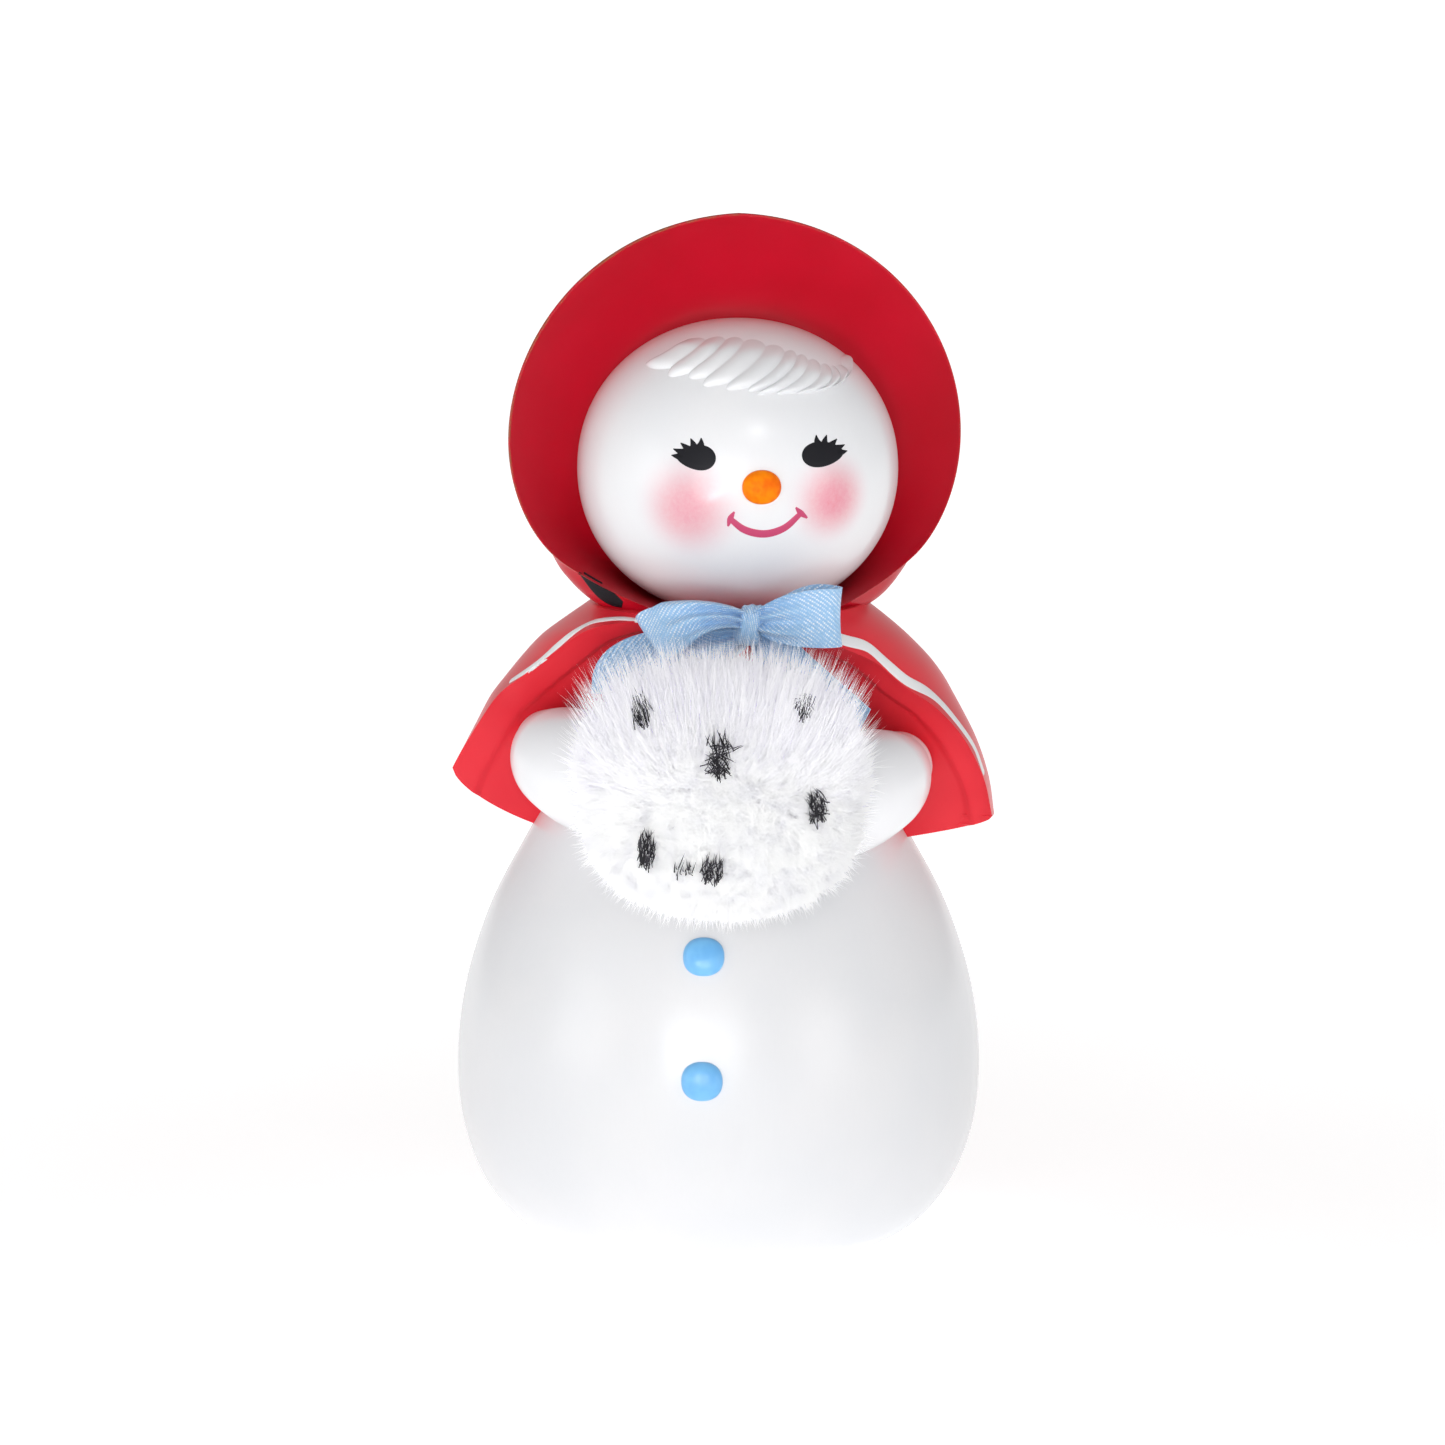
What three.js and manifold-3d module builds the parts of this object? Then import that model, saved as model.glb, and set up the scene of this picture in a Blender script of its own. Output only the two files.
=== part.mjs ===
// A painted wooden snow-lady figure: a turned body and head, a hood and a cape carved to fit
// over them, two pegged arms that hold a fur muff, a ribbon bow, and domed wooden buttons and nose.
// Millimetres, +Z up. The figure faces -Y and stands on the origin, at the middle of its flat base.
import * as THREE from "three";
import { mergeVertices } from "three/addons/utils/BufferGeometryUtils.js";
import Module from "manifold-3d";

const wasm = await Module();
wasm.setup();

// ---------- driving dimensions ----------
const GLUE_GAP = 0.3; // between pieces that are glued or rest on each other
const BODY_RADIUS = 45.5; // at the widest part of the belly
const BODY_HEIGHT = 111;
const BASE_RADIUS = 25; // the flat foot
const NECK_RADIUS = 15;
const HEAD = { a: 27.6, b: 27, c: 25.6, power: 2.06 }; // half sizes across, deep and high
const HEAD_CENTRE = new THREE.Vector3(3.4, -1.5, 135.2);
const HEAD_TURN = THREE.MathUtils.degToRad(12); // to the figure's left
const CROWN_RADIUS = 33; // outside of the hood behind the brim
const CROWN_OFFSET = 3; // middle of that ball behind the middle of the head
const COLLAR_HEIGHT = 112; // where the hood stands on the cape
const COLLAR_RADIUS = 23.5;
const CAPE_SHIFT = 1.7; // the cape sits a little to the figure's left
const MUFF = { a: 26, b: 18, c: 23.4, power: 2.2 };
const MUFF_CENTRE = new THREE.Vector3(3.3, -44.5, 85);
const MUFF_PADDING = { a: 19, b: 12, c: 17, power: 2.2 };
const DOWEL_RADIUS = 4;
const ARM_DOWEL_RADIUS = 2;
const BUTTON_RADIUS = 3.5;
const BUTTON_RISE = 1.7;
const PEG_RADIUS = 1.2;
const PEG_LENGTH = 5;
const SEAT_DEPTH = 0.3; // how far a button or the nose is let into the wood
const NOSE = { a: 3.4, b: 2.2, c: 2.9 };
const RIBBON_WIDTH = 10;
const RIBBON_THICK = 0.5;
const KNOT = new THREE.Vector3(7.4, -28.4, 110.4);

const point = (x, y, z) => new THREE.Vector3(x, y, z);
const AXIS = { X: point(1, 0, 0), Y: point(0, 1, 0) };
const rad = THREE.MathUtils.degToRad;

// ---------- solids ----------
// A closed geometry as a solid, turned to face outwards.
function solid(geometry) {
  const bare = new THREE.BufferGeometry();
  bare.setAttribute("position", geometry.getAttribute("position"));
  bare.setIndex(geometry.index);
  const merged = mergeVertices(bare, 1e-3);
  const vertProperties = merged.attributes.position.array;
  const triVerts = new Uint32Array(merged.index.array);
  const build = () => new wasm.Manifold(new wasm.Mesh({ numProp: 3, vertProperties, triVerts }));
  const made = build();
  if (made.volume() > 0) return made;
  for (let i = 0; i < triVerts.length; i += 3) {
    [triVerts[i + 1], triVerts[i + 2]] = [triVerts[i + 2], triVerts[i + 1]];
  }
  return build();
}

function geometryOf(manifold) {
  const m = manifold.getMesh();
  const geometry = new THREE.BufferGeometry();
  geometry.setAttribute("position", new THREE.BufferAttribute(m.vertProperties, 3));
  geometry.setIndex(new THREE.BufferAttribute(m.triVerts, 1));
  geometry.computeVertexNormals();
  return geometry;
}

const cut = (from, ...tools) => tools.reduce((left, tool) => left.subtract(tool), from);
const placed = (geometry, matrix) => solid(geometry.clone().applyMatrix4(matrix));

// A skin through closed loops of equally many points, with a fan over each end.
function loft(loops) {
  const count = loops[0].length;
  const positions = [];
  const index = [];
  for (const loop of loops) for (const p of loop) positions.push(p.x, p.y, p.z);
  for (let row = 0; row + 1 < loops.length; row++) {
    for (let i = 0; i < count; i++) {
      const a = row * count + i;
      const b = row * count + ((i + 1) % count);
      index.push(a, b, a + count, b, b + count, a + count);
    }
  }
  for (const [row, flip] of [[0, true], [loops.length - 1, false]]) {
    const middle = loops[row].reduce((sum, p) => sum.add(p), point(0, 0, 0)).divideScalar(count);
    const hub = positions.length / 3;
    positions.push(middle.x, middle.y, middle.z);
    for (let i = 0; i < count; i++) {
      const a = row * count + i;
      const b = row * count + ((i + 1) % count);
      index.push(hub, flip ? b : a, flip ? a : b);
    }
  }
  const geometry = new THREE.BufferGeometry();
  geometry.setAttribute("position", new THREE.Float32BufferAttribute(positions, 3));
  geometry.setIndex(index);
  return geometry;
}

// A ball with three half sizes; a power over 2 makes it a little squarer than an ellipsoid.
function ball({ a, b, c, power = 2 }, grow = 0, around = 24, down = 14) {
  const geometry = new THREE.SphereGeometry(1, around, down).rotateX(Math.PI / 2);
  const at = geometry.attributes.position;
  const v = point(0, 0, 0);
  for (let i = 0; i < at.count; i++) {
    v.fromBufferAttribute(at, i);
    const shares = [v.x / (a + grow), v.y / (b + grow), v.z / (c + grow)];
    const sum = shares.reduce((total, share) => total + Math.abs(share) ** power, 0);
    v.multiplyScalar(sum ** (-1 / power));
    at.setXYZ(i, v.x, v.y, v.z);
  }
  return geometry;
}

// A round limb along a curve, with its own radius at each station and a rounded tip at each end.
function limb(stations, grow = 0, around = 12, steps = 6) {
  const path = new THREE.CatmullRomCurve3(stations.map((s) => s.at));
  const size = new THREE.CatmullRomCurve3(stations.map((s) => point(s.radius, 0, 0)));
  const frames = path.computeFrenetFrames(steps);
  const ring = (i, share, out) => {
    const centre = path.getPoint(i / steps).addScaledVector(frames.tangents[i], out);
    const radius = (size.getPoint(i / steps).x + grow) * share;
    return Array.from({ length: around }, (_, k) => {
      const angle = (k / around) * 2 * Math.PI;
      return centre.clone()
        .addScaledVector(frames.normals[i], radius * Math.cos(angle))
        .addScaledVector(frames.binormals[i], radius * Math.sin(angle));
    });
  };
  const tip = (i, sign) =>
    [35, 70].map((deg) => {
      const reach = (size.getPoint(i / steps).x + grow) * Math.sin(rad(deg));
      return ring(i, Math.cos(rad(deg)), sign * reach);
    });
  const rings = Array.from({ length: steps + 1 }, (_, i) => ring(i, 1, 0));
  return loft([...tip(0, -1).reverse(), ...rings, ...tip(steps, 1)]);
}

// A strip of ribbon along a curve; each station gives its middle, the way across it and its width.
function ribbon(stations, steps = 24) {
  const path = new THREE.CatmullRomCurve3(stations.map((s) => s.at));
  const across = new THREE.CatmullRomCurve3(stations.map((s) => s.across));
  const size = new THREE.CatmullRomCurve3(stations.map((s) => point(s.width, 0, 0)));
  const loops = [];
  for (let i = 0; i <= steps; i++) {
    const t = i / steps;
    const centre = path.getPoint(t);
    const along = path.getTangent(t);
    const side = across.getPoint(t).projectOnPlane(along).normalize();
    const normal = side.clone().cross(along).normalize();
    const half = size.getPoint(t).x / 2;
    const corner = (s, n) =>
      centre.clone().addScaledVector(side, s * half).addScaledVector(normal, (n * RIBBON_THICK) / 2);
    loops.push([corner(-1, -1), corner(1, -1), corner(1, 1), corner(-1, 1)]);
  }
  return loft(loops);
}

function rod(radius, from, to, around = 16) {
  const along = to.clone().sub(from);
  const turn = new THREE.Quaternion().setFromUnitVectors(AXIS.Y, along.clone().normalize());
  const middle = from.clone().add(to).multiplyScalar(0.5);
  const matrix = new THREE.Matrix4().compose(middle, turn, point(1, 1, 1));
  return placed(new THREE.CylinderGeometry(radius, radius, along.length(), around), matrix);
}

function block(low, high) {
  const size = high.clone().sub(low);
  const middle = low.clone().add(high).multiplyScalar(0.5);
  return placed(new THREE.BoxGeometry(size.x, size.y, size.z), new THREE.Matrix4().makeTranslation(middle));
}

// ---------- body ----------
// Radius of the turned body at each height; a curve runs through these from the foot to the neck.
const BODY_PROFILE = [
  [BASE_RADIUS, 0], [30.6, 1.3], [36.5, 5.2], [41.6, 12.4], [44.7, 21.6], [BODY_RADIUS, 32],
  [44.2, 44], [39.9, 58], [33.2, 71], [26.5, 83], [20.2, 95], [16.2, 104], [NECK_RADIUS, BODY_HEIGHT],
];
const bodyCurve = new THREE.SplineCurve(BODY_PROFILE.map(([r, z]) => new THREE.Vector2(r, z)));

function bodyShape(grow = 0) {
  const outline = bodyCurve.getPoints(18).map((p) => new THREE.Vector2(p.x + grow, p.y));
  const foot = new THREE.Vector2(0, outline[0].y);
  const top = new THREE.Vector2(0, outline.at(-1).y);
  return new THREE.LatheGeometry([foot, ...outline, top], 32).rotateX(Math.PI / 2);
}

function bodyRadius(z) {
  const points = bodyCurve.getPoints(200);
  return points.reduce((best, p) => (Math.abs(p.y - z) < Math.abs(best.y - z) ? p : best)).x;
}

// ---------- head and hood, in the head's own frame ----------
const headMatrix = new THREE.Matrix4().makeRotationZ(HEAD_TURN).setPosition(HEAD_CENTRE);

// The brim's edge at an angle from the top of the hood: its radius, and how far back it lies.
const BRIM_EDGE = [
  [0, 43.9, -4], [45, 42.3, -3], [90, 38.9, -1], [112, 35.6, -3], [124, 32.2, -7],
  [134, 29.7, -11], [148, 27.1, -16.5], [164, 24.4, -21], [180, 23, -22],
];
const BRIM_SHIFT = -0.4; // the brim sits a little to the figure's right of the head's middle
const brimCurve = new THREE.CatmullRomCurve3(BRIM_EDGE.map(([deg, r, y]) => point(deg, r, y)));
const brimSamples = brimCurve.getPoints(240);
function brimEdge(deg) {
  const side = Math.abs(deg);
  const next = Math.max(1, brimSamples.findIndex((p) => p.x >= side - 1e-6));
  const [p, q] = [brimSamples[next - 1], brimSamples[next]];
  const edge = p.clone().lerp(q, THREE.MathUtils.clamp((side - p.x) / (q.x - p.x), 0, 1));
  return { radius: edge.y, back: edge.z };
}

const BRIM_ROOT = { radius: 26.5, back: 7 }; // where the dish of the brim meets the head
const BRIM_THICK = 1.8;
const BULGE = { radius: 3.4, back: 7 }; // low down, the hood swells past the brim's edge behind it
function hoodShape() {
  const around = 32;
  const turns = Array.from({ length: around }, (_, k) => -180 + (k / around) * 360);
  const at = (radius, deg, back, shift = 0) =>
    point(radius * Math.sin(rad(deg)) + shift, back, radius * Math.cos(rad(deg)));
  const blend = (deg, from, to) => THREE.MathUtils.smoothstep(Math.abs(deg), from, to);
  // Rings round the face: share of the way out to the brim's edge, and depth behind the dish.
  const ringAt = (out, depth) =>
    turns.map((deg) => {
      const edge = brimEdge(deg);
      const radius = THREE.MathUtils.lerp(BRIM_ROOT.radius, edge.radius, out);
      const dish = BRIM_ROOT.back + (edge.back - BRIM_ROOT.back) * Math.max(out, 0) ** 1.7;
      return at(radius, deg, dish + depth, BRIM_SHIFT * Math.max(out, 0));
    });
  const crownAt = (polar) => {
    const radius = CROWN_RADIUS * Math.sin(rad(polar));
    const back = CROWN_OFFSET + CROWN_RADIUS * Math.cos(rad(polar));
    return turns.map((deg) => at(radius, deg, back));
  };
  const swelling = turns.map((deg) => {
    const edge = brimEdge(deg);
    return at(edge.radius + BULGE.radius * blend(deg, 108, 134), deg, edge.back + BULGE.back, BRIM_SHIFT);
  });
  const behind = ringAt(0.7, BRIM_THICK + 1.5);
  const shoulder = behind.map((p, k) => p.lerp(swelling[k], blend(turns[k], 100, 122)));
  const dish = [0, 0.33, 0.66, 0.97].map((out) => ringAt(out, 0));
  const crown = [68, 50, 32, 14].map(crownAt);
  return loft([ringAt(-0.9, -1), ...dish, ringAt(1, 0.6), ringAt(0.97, BRIM_THICK), shoulder, ...crown]);
}

// Hair strands swept across the forehead. At a share t from the figure's right to its left, a strand
// runs down the head from its root to its tip.
const HAIR_STRANDS = 9;
const HAIR_RADIUS = 1.9;
const hairTip = (t) => {
  const x = -18 + 31.6 * t;
  return [x, 14.8 + 3.7 * Math.abs((x + 0.5) / 17) ** 1.7];
};
const hairRoot = (t) => {
  const x = -7.6 + 47.3 * t - 22.2 * t * t;
  return [x, 24.4 - 5.2 * Math.max(0, (x + 3) / 20.5) ** 1.7];
};
function headSurface(x, z, lift = 0) {
  const flat = 1 - Math.abs(x / HEAD.a) ** HEAD.power - Math.abs(z / HEAD.c) ** HEAD.power;
  return point(x, -HEAD.b * Math.max(flat, 0.002) ** (1 / HEAD.power) - lift, z);
}
function hairStrand(i) {
  const t = i / (HAIR_STRANDS - 1);
  const [root, tip] = [hairRoot(t), hairTip(t)];
  const middle = root.map((value, axis) => (value + tip[axis]) / 2 + 0.5);
  return limb([
    { at: headSurface(...root), radius: HAIR_RADIUS * 0.8 },
    { at: headSurface(...middle), radius: HAIR_RADIUS },
    { at: headSurface(...tip), radius: HAIR_RADIUS * 0.5 },
  ], 0, 6, 3);
}

// The low ridge that the strands grow from, up under the hood.
function hairParting() {
  const stations = [0, 0.25, 0.5, 0.75, 1].map((t) => ({
    at: headSurface(...hairRoot(t)),
    radius: HAIR_RADIUS * 0.85,
  }));
  return limb(stations, 0, 6, 7);
}

// ---------- cape ----------
// The cape's outer radius at each height, and the run of its front edges from throat to corner.
const CAPE_PROFILE = [
  [COLLAR_RADIUS, COLLAR_HEIGHT], [27.4, 109], [32.2, 105], [36.2, 101], [39.6, 96.5],
  [42, 91], [43.6, 85], [44.4, 78], [44.6, 68],
];
const CAPE_LEFT_EDGE = [
  [-5, -24, 112], [-13, -23, 111.2], [-21, -20, 109.2], [-27, -17.5, 105], [-32.6, -15, 100.6],
  [-37, -13, 97], [-40.8, -11.5, 91.6], [-44.2, -9.5, 86], [-45.6, -8, 83.4],
];
const CAPE_RIGHT_EDGE = [
  [8, -24, 112], [16, -22.5, 109.4], [22.6, -20, 106.4], [28, -17.5, 103.6], [32.9, -15.5, 99.2],
  [38, -13, 95.4], [42.8, -11, 89.8], [46.3, -9.5, 82.5], [47.7, -8, 75.8],
];
const CAPE_BACK_HEM = 72.5;
const capeCurve = new THREE.SplineCurve(CAPE_PROFILE.map(([r, z]) => new THREE.Vector2(r, z)));
const capeSamples = capeCurve.getPoints(200);
const capeRadius = (z) =>
  capeSamples.reduce((best, p) => (Math.abs(p.y - z) < Math.abs(best.y - z) ? p : best)).x;
const edgeCurve = (rows) => new THREE.CatmullRomCurve3(rows.map(([x, y, z]) => point(x, y, z)));

function capeShape() {
  const [rows, outer, front] = [9, 24, 8];
  const [leftEdge, rightEdge] = [edgeCurve(CAPE_LEFT_EDGE), edgeCurve(CAPE_RIGHT_EDGE)];
  const centre = point(CAPE_SHIFT, 0, 0);
  const polar = (p) => {
    const [dx, dy] = [p.x - centre.x, p.y - centre.y];
    return { angle: Math.atan2(dx, -dy), radius: Math.hypot(dx, dy) };
  };
  const loops = [];
  for (let row = 0; row <= rows; row++) {
    const t = row / rows;
    const [left, right] = [leftEdge.getPoint(t), rightEdge.getPoint(t)];
    const [l, r] = [polar(left), polar(right)];
    const backZ = THREE.MathUtils.lerp(COLLAR_HEIGHT, CAPE_BACK_HEM, t);
    const loop = [];
    // Outside, from the left edge round the back to the right edge.
    for (let i = 0; i <= outer; i++) {
      const u = i / outer;
      const angle = THREE.MathUtils.lerp(l.angle, r.angle - 2 * Math.PI, u);
      const [edge, polarEdge] = u < 0.5 ? [left, l] : [right, r];
      const near = Math.max(0, 1 - Math.min(u, 1 - u) / 0.45) ** 1.3;
      const z = THREE.MathUtils.lerp(backZ, edge.z, near);
      const flare = polarEdge.radius - capeRadius(edge.z);
      const radius = capeRadius(z) + flare * near ** 2;
      loop.push(point(centre.x + radius * Math.sin(angle), -radius * Math.cos(angle), z));
    }
    // Inside, from the right edge back across the chest to the left edge.
    for (let i = 1; i < front; i++) {
      const s = i / front;
      const dip = Math.sin(Math.PI * s) ** 0.6;
      const p = right.clone().lerp(left, s);
      p.y += dip * THREE.MathUtils.lerp(0.4, 7, Math.min(1, t * 1.6));
      p.z -= dip * THREE.MathUtils.lerp(7.7, 16.5, s) * t;
      loop.push(p);
    }
    loops.push(loop);
  }
  return loft(loops);
}

// ---------- arms and muff ----------
const ARMS = {
  left: [ // the figure's left, +X
    { at: point(31.5, -12, 85), radius: 6 },
    { at: point(28.5, -22, 84), radius: 9 },
    { at: point(21, -34, 83), radius: 10.5 },
    { at: point(12.6, -41.5, 83.5), radius: 6.4 },
  ],
  right: [
    { at: point(-28.5, -10, 88), radius: 6 },
    { at: point(-25.5, -20, 87), radius: 9 },
    { at: point(-17, -33, 86), radius: 10.5 },
    { at: point(-8, -41.5, 85.5), radius: 6.4 },
  ],
};
const armShape = (side, grow = 0) => solid(limb(ARMS[side], grow));
function armDowel(side, grow = 0) {
  const seat = ARMS[side][1].at;
  const inward = point(-seat.x, -seat.y, 0).normalize();
  const [from, to] = [3 - grow, 19 + grow].map((reach) => seat.clone().addScaledVector(inward, reach));
  return rod(ARM_DOWEL_RADIUS + grow, from, to);
}

// ---------- buttons and nose ----------
// A low dome with a peg behind it, facing -Y, its back at the origin.
function domedPeg({ a, b, c }, peg = PEG_RADIUS, length = PEG_LENGTH, grow = 0) {
  const behind = block(point(-20, 0.02 + grow, -20), point(20, 20, 20));
  const dome = solid(ball({ a, b, c }, grow, 16, 8)).subtract(behind);
  return dome.add(rod(peg + grow, point(0, -0.5, 0), point(0, length + grow, 0), 10));
}
function bodyButton(height, grow = 0) {
  const radius = bodyRadius(height);
  const slope = Math.atan2(bodyRadius(height + 1) - bodyRadius(height - 1), 2);
  const matrix = new THREE.Matrix4().makeRotationX(slope).setPosition(0, SEAT_DEPTH - radius, height);
  return domedPeg({ a: BUTTON_RADIUS, b: BUTTON_RISE, c: BUTTON_RADIUS }, PEG_RADIUS, PEG_LENGTH, grow)
    .transform(matrix.toArray());
}
const BUTTON_HEIGHTS = { upper: 56.6, lower: 36.2 };
const NOSE_DROP = -0.4;
const noseSeat = headSurface(0, NOSE_DROP).y + SEAT_DEPTH;
const noseMatrix = new THREE.Matrix4().makeTranslation(0, noseSeat, NOSE_DROP);
const noseShape = (grow = 0) => domedPeg(NOSE, PEG_RADIUS, PEG_LENGTH, grow).transform(noseMatrix.toArray());

// ---------- bow ----------
// Stations are offsets from the middle of the knot.
const bowStations = (rows) =>
  rows.map(([x, y, z, lean, pitch, width]) => ({
    at: KNOT.clone().add(point(x, y, z)),
    across: point(0, 0, 1).applyAxisAngle(AXIS.X, rad(pitch)).applyAxisAngle(AXIS.Y, rad(lean)),
    width,
  }));
const BOW = {
  bow_right_loop: [ // at the figure's right, -X
    [-1.2, -1.6, 1, -5, 0, 3.4],
    [-3.2, -2.8, 1.7, -8, -5, 4.2],
    [-6.1, -4, 2.2, -14, -15, 5.8],
    [-9.9, -4.8, 2, -24, -25, 8.2],
    [-13.3, -4.8, 0.9, -32, -32, 9.8],
    [-16.1, -4, -0.9, -38, -34, RIBBON_WIDTH],
    [-17.9, -2.2, -2.6, -41, -34, RIBBON_WIDTH],
    [-17.2, -0.2, -3.6, -41, -34, RIBBON_WIDTH],
    [-13.9, 1.2, -3.4, -36, -30, 9.6],
    [-9, 1.2, -2.8, -24, -20, 8],
    [-4.8, 0.4, -1.9, -10, -8, 5.6],
    [-1.4, -0.4, -1, 0, 0, 3.6],
  ],
  bow_left_loop: [
    [1.4, -1.6, 0.8, 0, 0, 4.2],
    [4.4, -2.9, 1.3, 0, 0, 7.4],
    [8.4, -3.7, 1.9, 2, 0, 9.6],
    [12.4, -3.3, 2.1, 2, 0, RIBBON_WIDTH],
    [15.4, -2, 1.9, 1, 0, RIBBON_WIDTH],
    [16.3, -0.4, 1.9, 0, 0, RIBBON_WIDTH],
    [15.2, 1, 2.4, 0, 0, RIBBON_WIDTH],
    [11.4, 1.6, 2.9, 0, 0, RIBBON_WIDTH],
    [7, 1.2, 2, 0, 0, 8],
    [3.8, 0.4, 0.9, 0, 0, 5.6],
    [1.4, -0.2, 0.2, 0, 0, 3.6],
  ],
  bow_right_tail: [
    [-1.4, 2, -2, -19, 0, 4.4],
    [-4.6, 3.2, -3.4, -19, 0, 7],
    [-10, 4.4, -5.2, -19, 0, 9.6],
    [-15.4, 4.8, -7, -20, 0, RIBBON_WIDTH],
    [-19.4, 4.6, -8.8, -28, 10, RIBBON_WIDTH],
    [-21.6, 4.4, -10.8, -50, 20, RIBBON_WIDTH],
    [-22.4, 4.4, -13, -74, 24, RIBBON_WIDTH],
  ],
  bow_left_tail: [
    [1.4, 2.2, -1.8, 30, 0, 4.4],
    [3.8, 2.8, -4.6, 36, 0, 7.4],
    [7.2, 2.8, -9.2, 38, 4, 9.6],
    [12.2, 1.4, -13.6, 38, 14, RIBBON_WIDTH],
    [17.2, -0.9, -17.2, 38, 24, RIBBON_WIDTH],
  ],
};
const KNOT_SIZE = { a: 3.3, b: 3, c: 4, power: 2.6 };

// ---------- materials ----------
const finish = (color, roughness) => new THREE.MeshStandardMaterial({ color, roughness, metalness: 0 });
const material = {
  snow: finish("#f2f3f4", 0.3),
  red: finish("#c0172c", 0.38),
  blue: finish("#6fb6f2", 0.35),
  orange: finish("#ff8c00", 0.4),
  ribbon: finish("#86b7e4", 0.35),
  fur: finish("#fafafa", 0.9),
  wadding: finish("#f3efe6", 0.95),
  wood: finish("#d9b98a", 0.7),
};

// ---------- assembly ----------
const figure = new THREE.Group();
const headGroup = new THREE.Group();
headGroup.applyMatrix4(headMatrix);
figure.add(headGroup);
function add(group, name, shape, look) {
  const mesh = new THREE.Mesh(geometryOf(shape), look);
  mesh.name = name;
  group.add(mesh);
}

const headRaw = solid(ball(HEAD, 0, 28, 18));
const headClear = solid(ball(HEAD, GLUE_GAP, 28, 18));
const bodyClear = solid(bodyShape(GLUE_GAP));
const hoodRaw = solid(hoodShape());
const inHead = headMatrix.clone().invert();
const toHead = (shape) => shape.transform(inHead.toArray());
const toFigure = (shape) => shape.transform(headMatrix.toArray());

const neckFrom = point(1.6, -0.5, 94);
const neckTo = point(1.6, -0.5, 122);
const neckDowel = rod(DOWEL_RADIUS, neckFrom, neckTo, 16);
const slack = point(0, 0, GLUE_GAP);
const neckHole = rod(DOWEL_RADIUS + GLUE_GAP, neckFrom.clone().sub(slack), neckTo.clone().add(slack), 16);

add(figure, "body",
  cut(solid(bodyShape()), toFigure(headClear), neckHole, bodyButton(BUTTON_HEIGHTS.upper, GLUE_GAP),
    bodyButton(BUTTON_HEIGHTS.lower, GLUE_GAP), armDowel("left", GLUE_GAP), armDowel("right", GLUE_GAP)),
  material.snow);
add(figure, "neck_dowel", neckDowel, material.wood);
add(figure, "upper_button", bodyButton(BUTTON_HEIGHTS.upper), material.blue);
add(figure, "lower_button", bodyButton(BUTTON_HEIGHTS.lower), material.blue);

add(headGroup, "head", cut(headRaw, toHead(neckHole), noseShape(GLUE_GAP)), material.snow);
add(headGroup, "nose", noseShape(), material.orange);
const hair = Array.from({ length: HAIR_STRANDS }, (_, i) => solid(hairStrand(i)))
  .reduce((all, strand) => all.add(strand), solid(hairParting()));
add(headGroup, "hair_fringe", hair.subtract(headClear), material.snow);
const belowCollar = block(point(-90, -90, 0), point(90, 90, COLLAR_HEIGHT + GLUE_GAP));
add(headGroup, "hood", cut(hoodRaw, headClear, toHead(belowCollar), toHead(bodyClear)), material.red);

const armClear = { left: armShape("left", GLUE_GAP), right: armShape("right", GLUE_GAP) };
add(figure, "cape",
  cut(solid(capeShape()), bodyClear, armClear.left, armClear.right, toFigure(headClear)),
  material.red);
for (const side of ["left", "right"]) {
  add(figure, side + "_arm", cut(armShape(side), bodyClear, armDowel(side, GLUE_GAP)), material.snow);
  add(figure, side + "_arm_dowel", armDowel(side), material.wood);
}

const muffMatrix = new THREE.Matrix4().makeTranslation(MUFF_CENTRE);
const muff = placed(ball(MUFF, 0, 20, 12), muffMatrix);
const padding = placed(ball(MUFF_PADDING, 0, 14, 8), muffMatrix);
const paddingClear = placed(ball(MUFF_PADDING, GLUE_GAP, 14, 8), muffMatrix);
add(figure, "muff_fur", cut(muff, paddingClear, armClear.left, armClear.right, bodyClear), material.fur);
add(figure, "muff_padding", cut(padding, armClear.left, armClear.right, bodyClear), material.wadding);

const knotMatrix = new THREE.Matrix4().makeTranslation(KNOT);
add(figure, "bow_knot", placed(ball(KNOT_SIZE, 0, 14, 9), knotMatrix), material.ribbon);
const knotClear = placed(ball(KNOT_SIZE, GLUE_GAP, 14, 9), knotMatrix);
for (const [name, rows] of Object.entries(BOW)) {
  const strip = solid(ribbon(bowStations(rows)));
  add(figure, name, cut(strip, knotClear, armClear.left, armClear.right), material.ribbon);
}

export default figure;
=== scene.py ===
import math

import bmesh
import bpy
import numpy as np
from mathutils import Matrix, Vector, bvhtree, kdtree


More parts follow.
